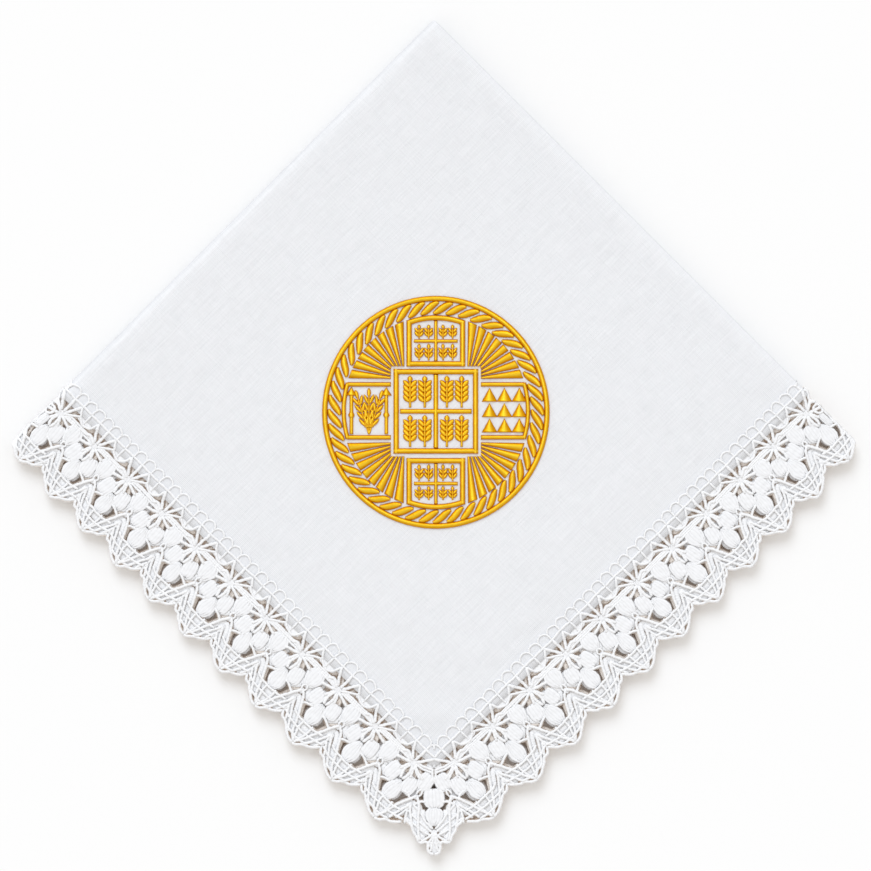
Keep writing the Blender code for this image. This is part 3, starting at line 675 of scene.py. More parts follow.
class LaceQuarter:
    """One quarter of the lace edging, crocheted strand by strand from the chart and folded into place."""

    def __init__(self, signs, slip, step, sides, thread, seed, looks, puff):
        self.threads = Gathered()
        self.petals = Gathered()
        self.signs = signs
        self.slip = slip
        self.step = step
        self.sides = sides
        self.thread = thread * looks.strand_width
        self.petal_high = looks.petal_height
        self.puff = puff
        self.fine = step < FINE_STEP
        self.random = np.random.default_rng(seed)
        self.left_band = True

    def lay(self, gathered, rings, along, across, closed=False):
        """Folds rings of (along, out, n), in millimetres from the fold and the middle, into place."""
        places = rings * MM
        first, second = (1, 0) if self.left_band else (0, 1)
        flat = places[..., [first, second, 2]] * (*self.signs, 1)
        flip = (self.signs[0] * self.signs[1] > 0) == self.left_band
        gathered.sweep(fold(flat, self.puff), along * MM, across, flip=flip, closed=closed)

    def strand(self, wide, lift, points):
        """A crocheted strand through places in millimetres from the fold and from the towel's middle."""
        stray = self.random.normal(0, STRAY, np.shape(points))
        stray[0] = stray[-1] = 0
        step = max(self.step, TAPE_STEP) if wide > TAPE else self.step
        line, run = smooth_line(np.asarray(points, float) + stray, step)
        kept = line[:, 0] >= 0
        if not kept.any():
            return
        first, last = np.flatnonzero(kept)[[0, -1]]
        line, run = line[first : last + 1].copy(), run[first : last + 1]
        if len(line) < 3:
            return
        if first > 0:
            line[0, 0] = 0
        if last < len(kept) - 1:
            line[-1, 0] = 0
        self.tube(line, run, wide, lift)

    def tube(self, line, run, wide, lift, closed=False):
        """The skin of one strand along a line, swelling with its chain stitches or pressed to a tape."""
        ways = side_ways(line, closed)
        beat = tau * run / CHAIN + self.random.uniform(0, tau)
        flat = wide > TAPE
        swell = 1 + CHAIN_SWELL * np.sin(beat) if self.fine and not flat else np.ones(len(run))
        half = wide * self.thread / 2 * swell
        if not closed:
            half[[0, -1]] *= END_SHARE
        sway = CHAIN_SWAY * np.sin(beat / 2) if self.fine else 0.0
        out = line[:, 1] - HEM
        on_cloth = smooth_step((CLIMB_FROM - out) / CLIMB_OVER)
        height = lift * (1 - on_cloth) + (SHEET_TOP / MM + HEADING_LIFT) * on_cloth
        height = height + FLOAT * np.sin(run / FLOAT_LENGTH + beat[0])
        angle = tau * np.arange(self.sides) / self.sides
        section = np.array(TAPE_SECTION) if flat else np.stack([np.cos(angle), np.sin(angle)], -1)
        across = section[None, :, 0] * half[:, None] + (sway + np.zeros(len(run)))[:, None]
        thick = np.full(len(run), TAPE_HALF_THICK) if flat else PRESS_SHARE * half
        up = section[None, :, 1] * thick[:, None] + height[:, None]
        rings = np.stack(
            [
                np.maximum(line[:, 0, None] + ways[:, 0, None] * across, 0),
                line[:, 1, None] + ways[:, 1, None] * across,
                up,
            ],
            -1,
        )
        self.lay(self.threads, rings, run, np.arange(len(section)) / len(section), closed)

    def ring(self, at, radius):
        """A small ring of thread, where it lies clear of the fold."""
        count = max(6, int(tau * radius / self.step))
        angle = tau * np.arange(count) / count
        line = np.stack([at[0] + radius * np.cos(angle), at[1] + radius * np.sin(angle)], -1)
        if line[:, 0].min() > 0:
            self.tube(line, radius * angle, RING_THREAD, RING_LIFT, closed=True)

    def petal(self, at, wide, long, turn, shape):
        """A thick petal of long stitches, ridged along its length, flat beneath and crowned above."""
        stations = PLAIN_STATIONS
        ridges = 0
        if self.fine:
            stations = KNOT_STATIONS if shape == KNOT else PETAL_STATIONS
            ridges = PETAL_RIDGES[shape]
        share = np.linspace(0, 1, stations)
        swing = np.interp(share, *zip(*PETAL_WIDTHS[shape]))
        high = np.interp(share, *zip(*PETAL_HEIGHTS))
        columns = len(RIDGE) * ridges + 1 if ridges else PLAIN_COLUMNS
        t = np.linspace(-1, 1, columns)
        if ridges:
            grooves = np.cumsum(np.append(0, self.random.uniform(*RIDGE_WIDTHS, ridges)))
            grooves = 2 * grooves / grooves[-1] - 1
            t = np.interp(np.arange(columns) / len(RIDGE), np.arange(ridges + 1), grooves)
        crown = (1 - np.abs(t) ** 6) ** 0.5
        uneven = np.repeat(self.random.uniform(*RIDGE_DEPTHS, ridges + 1), len(RIDGE))[:columns]
        ridge = np.resize(RIDGE, columns) * uneven if ridges else np.zeros(columns)
        wide, long = self.random.normal(1, PETAL_VARIES, 2) * (wide, long)
        slant = radians(turn + self.random.normal(0, PETAL_TURNS))
        rise = self.petal_high / MM - PETAL_RIM
        top = PETAL_LOW + PETAL_RIM + rise * high[:, None] * (crown + ridge * crown)[None, :]
        if ridges:
            start = np.repeat(self.random.uniform(0, tau, ridges + 1), len(RIDGE))[:columns]
            knobs = np.sin(tau * KNOBS * share[:, None] + start[None, :])
            top = top + KNOB * knobs * crown + self.random.normal(0, ROUGH_UP, top.shape)
        low = np.full((stations, len(PETAL_UNDER)), PETAL_LOW) + END_LIFT * (1 - high[:, None])
        side = np.concatenate([t, PETAL_UNDER])[None, :] * swing[:, None] * wide / 2
        lobes = 1 + LOBE * np.append(ridge, np.zeros(len(PETAL_UNDER)))
        ahead = (share[:, None] - 0.5) * long * lobes[None, :] + 0 * side
        if self.fine:
            side = side + self.random.normal(0, ROUGH_ACROSS, side.shape)
            ahead = ahead + self.random.normal(0, ROUGH_ALONG, side.shape)
        rings = np.stack(
            [
                at[0] - cos(slant) * side - sin(slant) * ahead,
                at[1] - sin(slant) * side + cos(slant) * ahead,
                np.concatenate([top, low], 1),
            ],
            -1,
        )
        rings[..., 0] = np.maximum(rings[..., 0], FOLD_CLEAR)
        self.lay(self.petals, rings, share * long, np.arange(rings.shape[1]) / len(RIDGE))

    def placed(self, k, chart):
        """Charted places of one repeat, as millimetres from the fold and from the towel's middle."""
        along, out = np.asarray(chart, float).T
        at = k + along / CHART_PITCH
        place = FIRST_STAR + STAR_PITCH * at + STAR_GROWTH * at * at
        place = place + np.interp(at, LEAN_AT, LEAN) * np.clip((out - LEAN_FROM) / LEAN_OVER, 0, None)
        beyond = np.maximum(out - HUB_OUT, 0) * np.interp(at, STRETCH_AT, STRETCH)
        drop = sum(share * np.clip((out - start) / over, 0, 1) for share, start, over in DROP_PARTS)
        place = place + self.slip * np.interp(out, SLIP_AT, SLIP) * np.clip(place / SLIP_FREE, 0, 1)
        out = np.minimum(out, HUB_OUT) + beyond - np.interp(at, DROP_AT, DROP) * drop
        return np.stack([place, out + HEM], -1)

    def heading(self, k):
        """The arches sewn down on the hem, cut off at the corner's diagonal."""
        strands = [(LIGHT, 0.0, [(foot + a, b) for a, b in ARCH]) for foot in ARCH_FEET]
        for wide, lift, chart in strands + HEADING:
            places = self.placed(k, chart)
            if places[0, 0] < places[0, 1]:
                places[:, 0] = np.minimum(places[:, 0], places[:, 1] + 0.1)
                self.strand(wide, lift, places)

    def repeat(self, k):
        """One star with what hangs from it, and the link to the next star unless it is the last."""
        last = k == REPEATS - 1
        self.heading(k)
        strands = STAR_STRANDS + VALLEY_STRANDS + TIP_STRANDS + EDGE_STRANDS + STAR_TAPES + VALLEY_TAPES
        petals = PETALS + (VALLEY_PETALS if k > 0 else [])
        if not last:
            strands = strands + LINK_STRANDS + MIRROR_STRANDS + LINK_TAPES
            petals = petals + LINK_PETALS
        if k == 0:
            petals = [FOLD_PETAL if petal[0] < 0 else petal for petal in petals]
        for wide, lift, chart in strands:
            self.strand(wide, lift, self.placed(k, chart))
        for petal in petals:
            self.petal(self.placed(k, [petal[:2]])[0], *petal[2:])
        self.ring(self.placed(k, [TIP_RING[:2]])[0], TIP_RING[2])

    def corner(self):
        """Half of the mitred corner. The petals on its diagonal come with the left band."""
        for wide, lift, chart in CORNER_STRANDS + CORNER_TAPES:
            self.strand(wide, lift, np.asarray(chart) + HEM)
        for petal in CORNER_PETALS + (DIAGONAL_PETALS if self.left_band else []):
            self.petal(np.add(petal[:2], HEM), *petal[2:])
        self.ring(np.add(CORNER_RING[:2], HEM), CORNER_RING[2])

    def crochet(self):
        """Works both bands of the quarter, each from its fold to the corner."""
        for self.left_band in (True, False):
            for wide, lift, chart in FOLD_STRANDS:
                self.strand(wide, lift, np.asarray(chart) + (0, HEM))
            for k in range(REPEATS):
                self.repeat(k)
            self.corner()


class Embroidery:
    """Satin stitches laid side by side over the linen's top face, in bars and patches."""

    def __init__(self, looks, puff, seed):
        self.gathered = Gathered()
        self.middle = emblem_middle()
        self.high = looks.stitch_height
        self.puff = puff
        self.random = np.random.default_rng(seed)

    def patch(self, left, right, run, high=BAR_HIGH, closed=False):
        """Stitches that cross from a left edge to a right edge, raised in the middle."""
        count = len(left)
        uneven = self.random.normal(0, SATIN_RAGGED, (count, 2))
        across_way = right - left
        width = np.maximum(np.linalg.norm(across_way, axis=1), 1e-9)
        unit = across_way / width[:, None]
        left = left - unit * uneven[:, :1]
        right = right + unit * uneven[:, 1:]
        plump = np.clip(width / FULL_WIDTH, NARROW_SHARE, 1)
        rise = high * self.high * plump
        if not closed:
            from_end = np.minimum(run - run[0], run[-1] - run)
            rise = rise * np.clip(np.sqrt(from_end / END_ROUND), END_RISE, 1)
        rise = rise * (1 + STITCH_RISE * (-1.0) ** np.arange(count))
        dome = (1 - SATIN_SECTION**2) ** 0.5
        flat = left[:, None] + (right - left)[:, None] * (SATIN_SECTION[None, :, None] + 1) / 2
        places = flat + self.middle
        base = cloth_top(places[..., 0], places[..., 1], self.puff)
        top = base + rise[:, None] * dome - SATIN_SUNK * (dome == 0)
        above = np.concatenate([places, top[..., None]], -1)
        low = base[:, SATIN_UNDER, None] - UNDER_SUNK
        below = np.concatenate([places[:, SATIN_UNDER], low], -1)
        rings = np.concatenate([above, below], 1)
        across = np.linspace(0, 1, rings.shape[1], endpoint=False)
        self.gathered.sweep(rings, run, across, flip=True, closed=closed)

    def bar(self, points, half_widths, high=BAR_HIGH, closed=False):
        """A line of satin stitch through points, whose half width may change along it."""
        line, run = smooth_line(points, SATIN_STEP)
        if closed:
            line, run = line[:-1], run[:-1]
        ways = side_ways(line, closed)
        half = np.interp(run, np.linspace(0, run[-1], len(half_widths)), half_widths)
        self.patch(line + ways * half[:, None], line - ways * half[:, None], run, high, closed)

    def straight(self, start, end, wide, high=BAR_HIGH):
        """A straight bar of even width."""
        self.bar([start, end], [wide / 2, wide / 2], high)

    def ring(self):
        angle = np.linspace(0, tau, int(tau * RING_X / SATIN_STEP))
        line = np.stack([RING_X * np.cos(angle), RING_Y * np.sin(angle)], -1)
        self.bar(line, [RING_WIDE / 2, RING_WIDE / 2], closed=True)

    def rope(self):
        for i in range(ROPE_TWISTS):
            middle = tau * (i + 0.5) / ROPE_TWISTS
            line = []
            for along, out in TWIST_LINE:
                angle = middle - along * MM / ROPE_X
                line.append(((ROPE_X + out * MM) * cos(angle), (ROPE_Y + out * MM) * sin(angle)))
            self.bar(line, np.array(TWIST_HALF_WIDTHS) * MM)

    def grain(self, foot, tip, half):
        """One grain of wheat: a pointed drop of satin stitch."""
        foot, tip = np.array(foot), np.array(tip)
        self.bar([foot, (foot + tip) / 2, tip], half * np.array(GRAIN_HALF_WIDTHS), MOTIF_HIGH)

    def ear(self, x, y, high, wide, pairs, lean=0.0):
        """A wheat ear that stands on (x, y), leaning clockwise."""

        def place(a, b):
            return x + a * cos(lean) + b * sin(lean), y + b * cos(lean) - a * sin(lean)

        stem = STEM_SHARE * high
        step = (high - stem) / (pairs + 1)
        self.straight(place(0, 0), place(0, high - step), STEM_WIDE * wide + OVERLAP, MOTIF_HIGH)
        for j in range(pairs):
            low = stem + (j - GRAIN_DROP) * step
            for side in (-1, 1):
                tip = place(side * wide / 2, low + GRAIN_LONG * step)
                self.grain(place(side * GRAIN_IN * wide, low), tip, GRAIN_HALF * wide)
        self.grain(place(0, high - TOP_GRAIN_LONG * step), place(0, high), TOP_GRAIN_HALF * wide)

    def cross(self, wide, reach, low, high, middle, flip=1):
        """A cross whose bar reaches out at the middle and whose post runs from low to high."""
        self.straight((-reach, flip * middle), (reach, flip * middle), wide, CROSSBAR_HIGH)
        self.straight((0, flip * low), (0, flip * high), wide, CROSS_HIGH)

    def centre(self):
        line = CENTRE_HALF - FRAME_WIDE / 2
        low, high = CENTRE_UP - line, CENTRE_UP + line
        for y in (low, high):
            self.straight((-CENTRE_HALF, y), (CENTRE_HALF, y), FRAME_WIDE)
        for x in (-line, line):
            self.straight((x, low - FRAME_WIDE / 2), (x, high + FRAME_WIDE / 2), FRAME_WIDE, UPRIGHT_HIGH)
        inner = CENTRE_HALF - FRAME_WIDE
        reach = inner - CENTRE_CROSS_CLEAR
        self.cross(CENTRE_CROSS_WIDE, reach, CENTRE_UP - inner, CENTRE_UP + inner, CENTRE_UP)
        field = inner - CENTRE_CROSS_WIDE / 2
        for floor in (CENTRE_UP - inner, CENTRE_UP + CENTRE_CROSS_WIDE / 2):
            for place in EAR_PLACES:
                foot = floor + (1 - EAR_FILL) * field / 2
                self.ear(place * inner, foot, EAR_FILL * field, EAR_WIDE, EAR_PAIRS)

    def panel(self, flip):
        """The arched frame above the centre, or below it when flip is -1."""
        half = PANEL_HALF - FRAME_WIDE / 2
        floor = PANEL_START + FRAME_WIDE / 2
        shoulder = PANEL_SHOULDER - FRAME_WIDE / 2
        crown = PANEL_CROWN - FRAME_WIDE / 2
        bow = [(x * half, flip * (shoulder + (crown - shoulder) * (1 - x * x))) for x in PANEL_BOW]
        self.bar(bow, [FRAME_WIDE / 2, FRAME_WIDE / 2])
        self.straight((-PANEL_HALF, flip * floor), (PANEL_HALF, flip * floor), FRAME_WIDE)
        for x in (-half, half):
            top = shoulder + FRAME_WIDE / 2 - OVERLAP
            self.straight((x, flip * PANEL_START), (x, flip * top), FRAME_WIDE, UPRIGHT_HIGH)
        inner = PANEL_HALF - FRAME_WIDE
        low = PANEL_START + FRAME_WIDE
        high = PANEL_CROWN - FRAME_WIDE
        self.cross(PANEL_CROSS_WIDE, inner - PANEL_CROSS_CLEAR, low, high, PANEL_CROSS_MIDDLE, flip)
        bar = PANEL_CROSS_WIDE / 2
        ceiling = PANEL_SHOULDER - FRAME_WIDE + EAR_OVERRUN
        rows = ((low, PANEL_CROSS_MIDDLE - bar), (PANEL_CROSS_MIDDLE + bar, ceiling))
        for foot, head in rows:
            tall = EAR_FILL * (head - foot)
            for place in EAR_PLACES:
                y = foot + (head - foot - tall) / 2
                start = y if flip > 0 else -(y + tall)
                self.ear(place * inner, start, tall, SMALL_EAR_WIDE, SMALL_EAR_PAIRS)

    def side_frame(self, side):
        """The frame to the right of the centre, or to its left when side is -1, arched on its outside."""
        top = SIDE_TOP - SIDE_WIDE / 2
        bottom = SIDE_BOTTOM + SIDE_WIDE / 2
        shoulder = SIDE_SHOULDER - SIDE_WIDE / 2
        crown = SIDE_CROWN - SIDE_WIDE / 2
        middle = (top + bottom) / 2
        reach = (top - bottom) / 2
        bow = [(side * (shoulder + (crown - shoulder) * (1 - t * t)), middle + reach * t) for t in SIDE_BOW]
        self.bar(bow, [SIDE_WIDE / 2, SIDE_WIDE / 2], BOW_HIGH)
        for y in (top, bottom):
            self.straight((side * SIDE_START, y), (side * shoulder, y), SIDE_WIDE)

    def spear(self, x, low, high):
        """A spear with a pointed head and a boss halfway up its shaft."""
        neck = high - SPEAR_HEAD_HIGH
        middle = (low + neck) / 2
        self.straight((x, low), (x, neck + SPEAR_INTO), 2 * SPEAR_HALF, CROSS_HIGH)
        boss = [(x, middle - SPEAR_BOSS), (x, middle), (x, middle + SPEAR_BOSS)]
        self.bar(boss, [SPEAR_BOSS / 2, SPEAR_BOSS, SPEAR_BOSS / 2], BOSS_HIGH)
        self.triangle(x, neck, SPEAR_HEAD_HALF, SPEAR_HEAD_HIGH)

    def triangle(self, x, base, half, high):
        """An upright triangle of stitches that cross from side to side."""
        run = np.linspace(0, high, int(high / SATIN_STEP))
        reach = half * (1 - run / high) + POINT_HALF
        left = np.stack([x - reach, base + run], -1)
        right = np.stack([x + reach, base + run], -1)
        self.patch(left, right, run)

    def fan(self, side, up):
        """Rays that spread from a corner of the centre frame towards the rope."""
        root = Vector((side * RAY_ROOT_X, RAY_ROOT_TOP if up > 0 else RAY_ROOT_BOTTOM))
        clear_x = CENTRE_HALF + RAY_CLEAR - abs(root.x)
        clear_y = CENTRE_HALF + RAY_CLEAR - abs(root.y - CENTRE_UP)

        def edge(angle):
            way = Vector((side * sin(angle), up * cos(angle)))
            start = min(clear_x / max(sin(angle), 1e-9), clear_y / max(cos(angle), 1e-9))
            along = root.dot(way)
            reach = RAY_REACH_X + (RAY_REACH_Y - RAY_REACH_X) * cos(angle)
            end = sqrt(along * along - root.length_squared + reach * reach) - along
            return np.array(root + way * start), np.array(root + way * end)

        share = pi / 2 / RAYS
        for i in range(RAYS):
            first = edge(share * (i + RAY_GAP / 2))
            last = edge(share * (i + 1 - RAY_GAP / 2))
            length = np.linalg.norm(first[1] - first[0])
            t = np.linspace(0, 1, int(length / SATIN_STEP))[:, None]
            edges = [ends[0] + (ends[1] - ends[0]) * t for ends in (first, last)]
            if side * up > 0:
                edges.reverse()
            self.patch(edges[1], edges[0], t[:, 0] * length)


class Nodes:
    """Adds nodes to one tree and joins them up."""

    def __init__(self, tree):
        self.tree = tree

    def add(self, kind, inputs=(), **settings):
        node = self.tree.nodes.new(kind)
        for name, value in settings.items():
            setattr(node, name, value)
        for name, value in dict(inputs).items():
            if isinstance(value, bpy.types.NodeSocket):
                self.tree.links.new(value, node.inputs[name])
            else:
                node.inputs[name].default_value = value
        return node

    def math(self, operation, *values):
        return self.add("ShaderNodeMath", dict(enumerate(values)), operation=operation).outputs[0]

    def spread(self, value, low, high, to_low, to_high):
        inputs = {"Value": value, "From Min": low, "From Max": high, "To Min": to_low, "To Max": to_high}
        return self.add("ShaderNodeMapRange", inputs).outputs["Result"]

    def scaled(self, vector, scale):
        inputs = {"Vector": vector, "Scale": scale}
        return self.add("ShaderNodeMapping", inputs).outputs["Vector"]

    def noise(self, vector, scale, detail=2.0):
        inputs = {"Vector": vector, "Scale": scale, "Detail": detail}
        return self.add("ShaderNodeTexNoise", inputs).outputs["Fac"]

    def parts(self, places):
        """How far along and how far across each place is, and its height."""
        return self.add("ShaderNodeSeparateXYZ", {"Vector": places}).outputs

    def ripple(self, value):
        """Rounded humps, from 0 to 1, one for each half turn."""
        return self.math("ABSOLUTE", self.math("SINE", value))

    def mixed(self, share, first, second, blend="MIX"):
        inputs = {0: share, 6: first, 7: second}
        return self.add("ShaderNodeMix", inputs, data_type="RGBA", blend_type=blend).outputs[2]

    def shaded(self, colour, shade):
        """The colour made lighter or darker by a factor about 1."""
        grey = self.add("ShaderNodeCombineColor", {"Red": shade, "Green": shade, "Blue": shade}).outputs[0]
        return self.mixed(1.0, colour, grey, "MULTIPLY")

    def group(self, name, make, places, measure, value):
        """The outputs of a shared group, which is made when it is first asked for."""
        tree = bpy.data.node_groups.get(name) or make(name, measure)
        return self.add("ShaderNodeGroup", {"Vector": places, measure: value}, node_tree=tree).outputs

    def mottle(self, places, size):
        return self.group("Soft Mottle", mottle_group, places, "Patch Size", size)["Shade"]


def new_group(name, measure, outputs=("Height", "Shade")):
    """A group of nodes that takes places and one measure, with what goes in and what comes out."""
    tree = bpy.data.node_groups.new(name, "ShaderNodeTree")
    tree.interface.new_socket("Vector", in_out="INPUT", socket_type="NodeSocketVector")
    tree.interface.new_socket(measure, in_out="INPUT", socket_type="NodeSocketFloat")
    for output in outputs:
        tree.interface.new_socket(output, in_out="OUTPUT", socket_type="NodeSocketFloat")
    nodes = Nodes(tree)
    return nodes, nodes.add("NodeGroupInput").outputs, nodes.add("NodeGroupOutput").inputs


def weave_group(name, measure):
    """Plain weave from crossed threads of uneven thickness, with a thicker slub here and there."""
    nodes, given, put = new_group(name, measure)
    parts = nodes.parts(given["Vector"])
    turns = nodes.math("DIVIDE", pi, given[measure])
    warp = nodes.ripple(nodes.math("MULTIPLY", parts["X"], turns))
    weft = nodes.ripple(nodes.math("MULTIPLY", parts["Y"], turns))
    warp_slub = nodes.noise(nodes.scaled(given["Vector"], WARP_SLUBS), 1.0)
    weft_slub = nodes.noise(nodes.scaled(given["Vector"], WEFT_SLUBS), 1.0)
    slubs = nodes.math("MULTIPLY_ADD", weft_slub, 1.2, nodes.math("MULTIPLY", warp_slub, 0.8))
    cross = nodes.math("MULTIPLY", warp, weft)
    height = nodes.math("ADD", nodes.math("MULTIPLY", cross, 0.5), nodes.math("MULTIPLY", slubs, 0.7))
    nodes.tree.links.new(height, put["Height"])
    nodes.tree.links.new(nodes.spread(slubs, 0.6, 1.4, -1.0, 1.0), put["Shade"])
    return nodes.tree


def twist_group(name, measure):
    """The slanting plies of twisted thread, from how far along a strand and how far round it a place is."""
    nodes, given, put = new_group(name, measure)
    parts = nodes.parts(given["Vector"])
    along = nodes.math("DIVIDE", parts["X"], given[measure])
    turn = nodes.math("MULTIPLY", nodes.math("ADD", along, parts["Y"]), tau)
    ply = nodes.spread(nodes.math("SINE", turn), -1.0, 1.0, 0.0, 1.0)
    fibre = nodes.noise(nodes.scaled(given["Vector"], PLY_FIBRES), 1.0)
    height = nodes.math("ADD", nodes.math("MULTIPLY", ply, 0.7), nodes.math("MULTIPLY", fibre, 0.6))
    nodes.tree.links.new(height, put["Height"])
    # The Shade is darker where the plies dip: painted shade between the plies, mixed with the fibres' own
    # tone
    nodes.tree.links.new(nodes.spread(height, 0.2, 1.1, -1.0, 1.0), put["Shade"])
    return nodes.tree


def row_group(name, measure):
    """Rows of long stitches laid side by side, each row one unit across, with fibres along them and painted
    shade in the grooves between rows.
    """
    nodes, given, put = new_group(name, measure)
    row = nodes.ripple(nodes.math("MULTIPLY", nodes.parts(given["Vector"])["Y"], pi))
    groove = nodes.math("POWER", nodes.math("SUBTRACT", 1.0, row), 1.5)
    fibre = nodes.noise(nodes.scaled(given["Vector"], ROW_FIBRES), 1.0)
    height = nodes.math("ADD", nodes.math("MULTIPLY", fibre, 0.8), nodes.math("MULTIPLY", row, 0.5))
    lighter = nodes.spread(fibre, 0.3, 0.7, -0.35, 0.35)
    # Painted shade in the grooves between rows, mixed with the fibres' own lighter and darker tone
    fibre_tone_and_groove_shade = nodes.math("MULTIPLY", nodes.math("SUBTRACT", lighter, groove), given[measure])
    nodes.tree.links.new(height, put["Height"])
    nodes.tree.links.new(fibre_tone_and_groove_shade, put["Shade"])
    return nodes.tree


def mottle_group(name, measure):
    """Soft light and dark patches, from -1 to 1, that keep a plain colour from lying flat."""
    nodes, given, put = new_group(name, measure, ("Shade",))
    field = nodes.noise(given["Vector"], nodes.math("DIVIDE", 1.0, given[measure]), 3.0)
    nodes.tree.links.new(nodes.spread(field, 0.3, 0.7, -1.0, 1.0), put["Shade"])
    return nodes.tree


def new_material(name, roughness, specular):
    """A material, its nodes and its shader, ready for what changes over the surface."""
    material = bpy.data.materials.new(name)
    material.use_nodes = True
    shader = material.node_tree.nodes["Principled BSDF"]
    shader.inputs["Roughness"].default_value = roughness
    shader.inputs["Specular IOR Level"].default_value = specular
    return material, Nodes(material.node_tree), shader


def shade_of(nodes, relief, contrast, mottle, mottling):
    """The factor about 1 that a thread's relief and soft patches make of the colour."""
    shade = nodes.math("MULTIPLY_ADD", relief["Shade"], contrast, 1.0)
    return nodes.math("MULTIPLY_ADD", mottle, mottling, shade)


def join_up(nodes, shader, colour, height, distance):
    """Joins the colour to the shader, and the relief as bumps of a height in metres."""
    bump = nodes.add("ShaderNodeBump", {"Height": height, "Strength": 0.8, "Distance": distance})
    nodes.tree.links.new(bump.outputs["Normal"], shader.inputs["Normal"])
    nodes.tree.links.new(colour, shader.inputs["Base Color"])


def linen_material(looks):
    """Bleached linen: fine plain weave with slubs, with painted light in a band beside the folds and painted
    shade on each fold's outermost rim.
    """
    material, nodes, shader = new_material("Bleached Linen", roughness=0.9, specular=0.25)
    flat = nodes.add("ShaderNodeUVMap", uv_map="thread").outputs["UV"]
    weave = nodes.group("Plain Weave", weave_group, flat, "Thread Pitch", looks.weave_pitch)
    parts = nodes.parts(flat)
    first = nodes.math("ABSOLUTE", parts["X"])
    second = nodes.math("ABSOLUTE", parts["Y"])
    # Painted light: the colour is a shade lighter in a band beside the folds, where the rounded folds would
    # catch more light
    pressed = nodes.spread(nodes.math("MINIMUM", first, second), *FOLD_PAINTED_LIGHT_BAND, looks.fold_painted_light, 0.0)
    # Painted shade: the colour is darker on the outermost rim of each fold's bend
    for off, bend in ((first, FIRST_BEND), (second, SECOND_BEND)):
        rim = nodes.spread(off, RIM_PAINTED_SHADE_BAND[0] * bend, RIM_PAINTED_SHADE_BAND[1] * bend, -looks.rim_painted_shade, RIM_FREE)
        pressed = nodes.math("MINIMUM", pressed, rim)
    mottle = nodes.mottle(flat, LINEN_PATCH)
    shade = shade_of(nodes, weave, looks.slub_contrast, mottle, looks.mottle_contrast)
    shade = nodes.math("ADD", shade, pressed)
    join_up(nodes, shader, nodes.shaded((*looks.colour, 1), shade), weave["Height"], distance=0.00022)
    return material


def cotton_material(name, colour, relief, contrast):
    """Mercerised crochet cotton: bright white, slightly smooth, with its thread showing.

    The relief names the thread's shared group, what makes it, and its measure with a value.
    """
    material, nodes, shader = new_material(name, roughness=0.62, specular=0.35)
    flat = nodes.add("ShaderNodeUVMap", uv_map="thread").outputs["UV"]
    group, make, measure, value = relief
    thread = nodes.group(group, make, flat, measure, value)
    mottle = nodes.mottle(nodes.add("ShaderNodeTexCoord").outputs["Object"], COTTON_PATCH)
    shade = shade_of(nodes, thread, contrast, mottle, mottling=0.010)
    join_up(nodes, shader, nodes.shaded((*colour, 1), shade), thread["Height"], distance=0.0001)
    return material


def gold_material(looks):
    """Golden yellow rayon satin: glossy threads laid side by side, with a painted highlight along each
    stitch's crown and painted shade at each edge.
    """
    material, nodes, shader = new_material("Gold Satin Stitch", roughness=0.34, specular=0.05)
    shader.inputs["Metallic"].default_value = 0.78
    flat = nodes.add("ShaderNodeUVMap", uv_map="thread").outputs["UV"]
    twist = nodes.group("Twisted Thread", twist_group, flat, "Ply Length", looks.stitch_pitch)
    mottle = nodes.mottle(nodes.add("ShaderNodeTexCoord").outputs["Object"], GOLD_PATCH)
    off = nodes.math("ABSOLUTE", nodes.math("SUBTRACT", nodes.parts(flat)["Y"], SATIN_MIDDLE))
    # Painted shade darkens each stitch towards its edges, and a painted highlight lightens its crown
    edge = nodes.spread(off, *SATIN_PAINTED_SHADE, 0.0, 1.0)
    crown = nodes.spread(off, *SATIN_PAINTED_HIGHLIGHT, 1.0, 0.0)
    shade = shade_of(nodes, twist, contrast=0.07, mottle=mottle, mottling=0.06)
    lit = nodes.shaded(nodes.mixed(crown, (*looks.colour, 1), (*looks.crown_painted_highlight, 1)), shade)
    colour = nodes.mixed(edge, lit, (*looks.edge_painted_shade, 1))
    join_up(nodes, shader, colour, twist["Height"], distance=0.00008)
    return material


def add_piece(name, mesh, material, slot, *nodes):
    """A finished piece of the towel: it rides on the towel and stands for its solids."""
    piece = bpy.data.objects.new(name, mesh)
    bpy.context.scene.collection.objects.link(piece)
    mesh.materials.append(material)
    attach(piece, "root")
    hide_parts(*nodes)
    return piece


def line_places(bend, lines):
    """The places of the linen's lines of points from edge to edge: even, and close across the fold."""
    reach = bend * pi / 2
    outside = np.linspace(reach, CLOTH_HALF, int(round((CLOTH_HALF - reach) / CLOTH_STEP)) + 1)
    across = np.linspace(-reach, reach, lines + 1)
    return np.concatenate([-outside[:0:-1], across, outside[1:]])


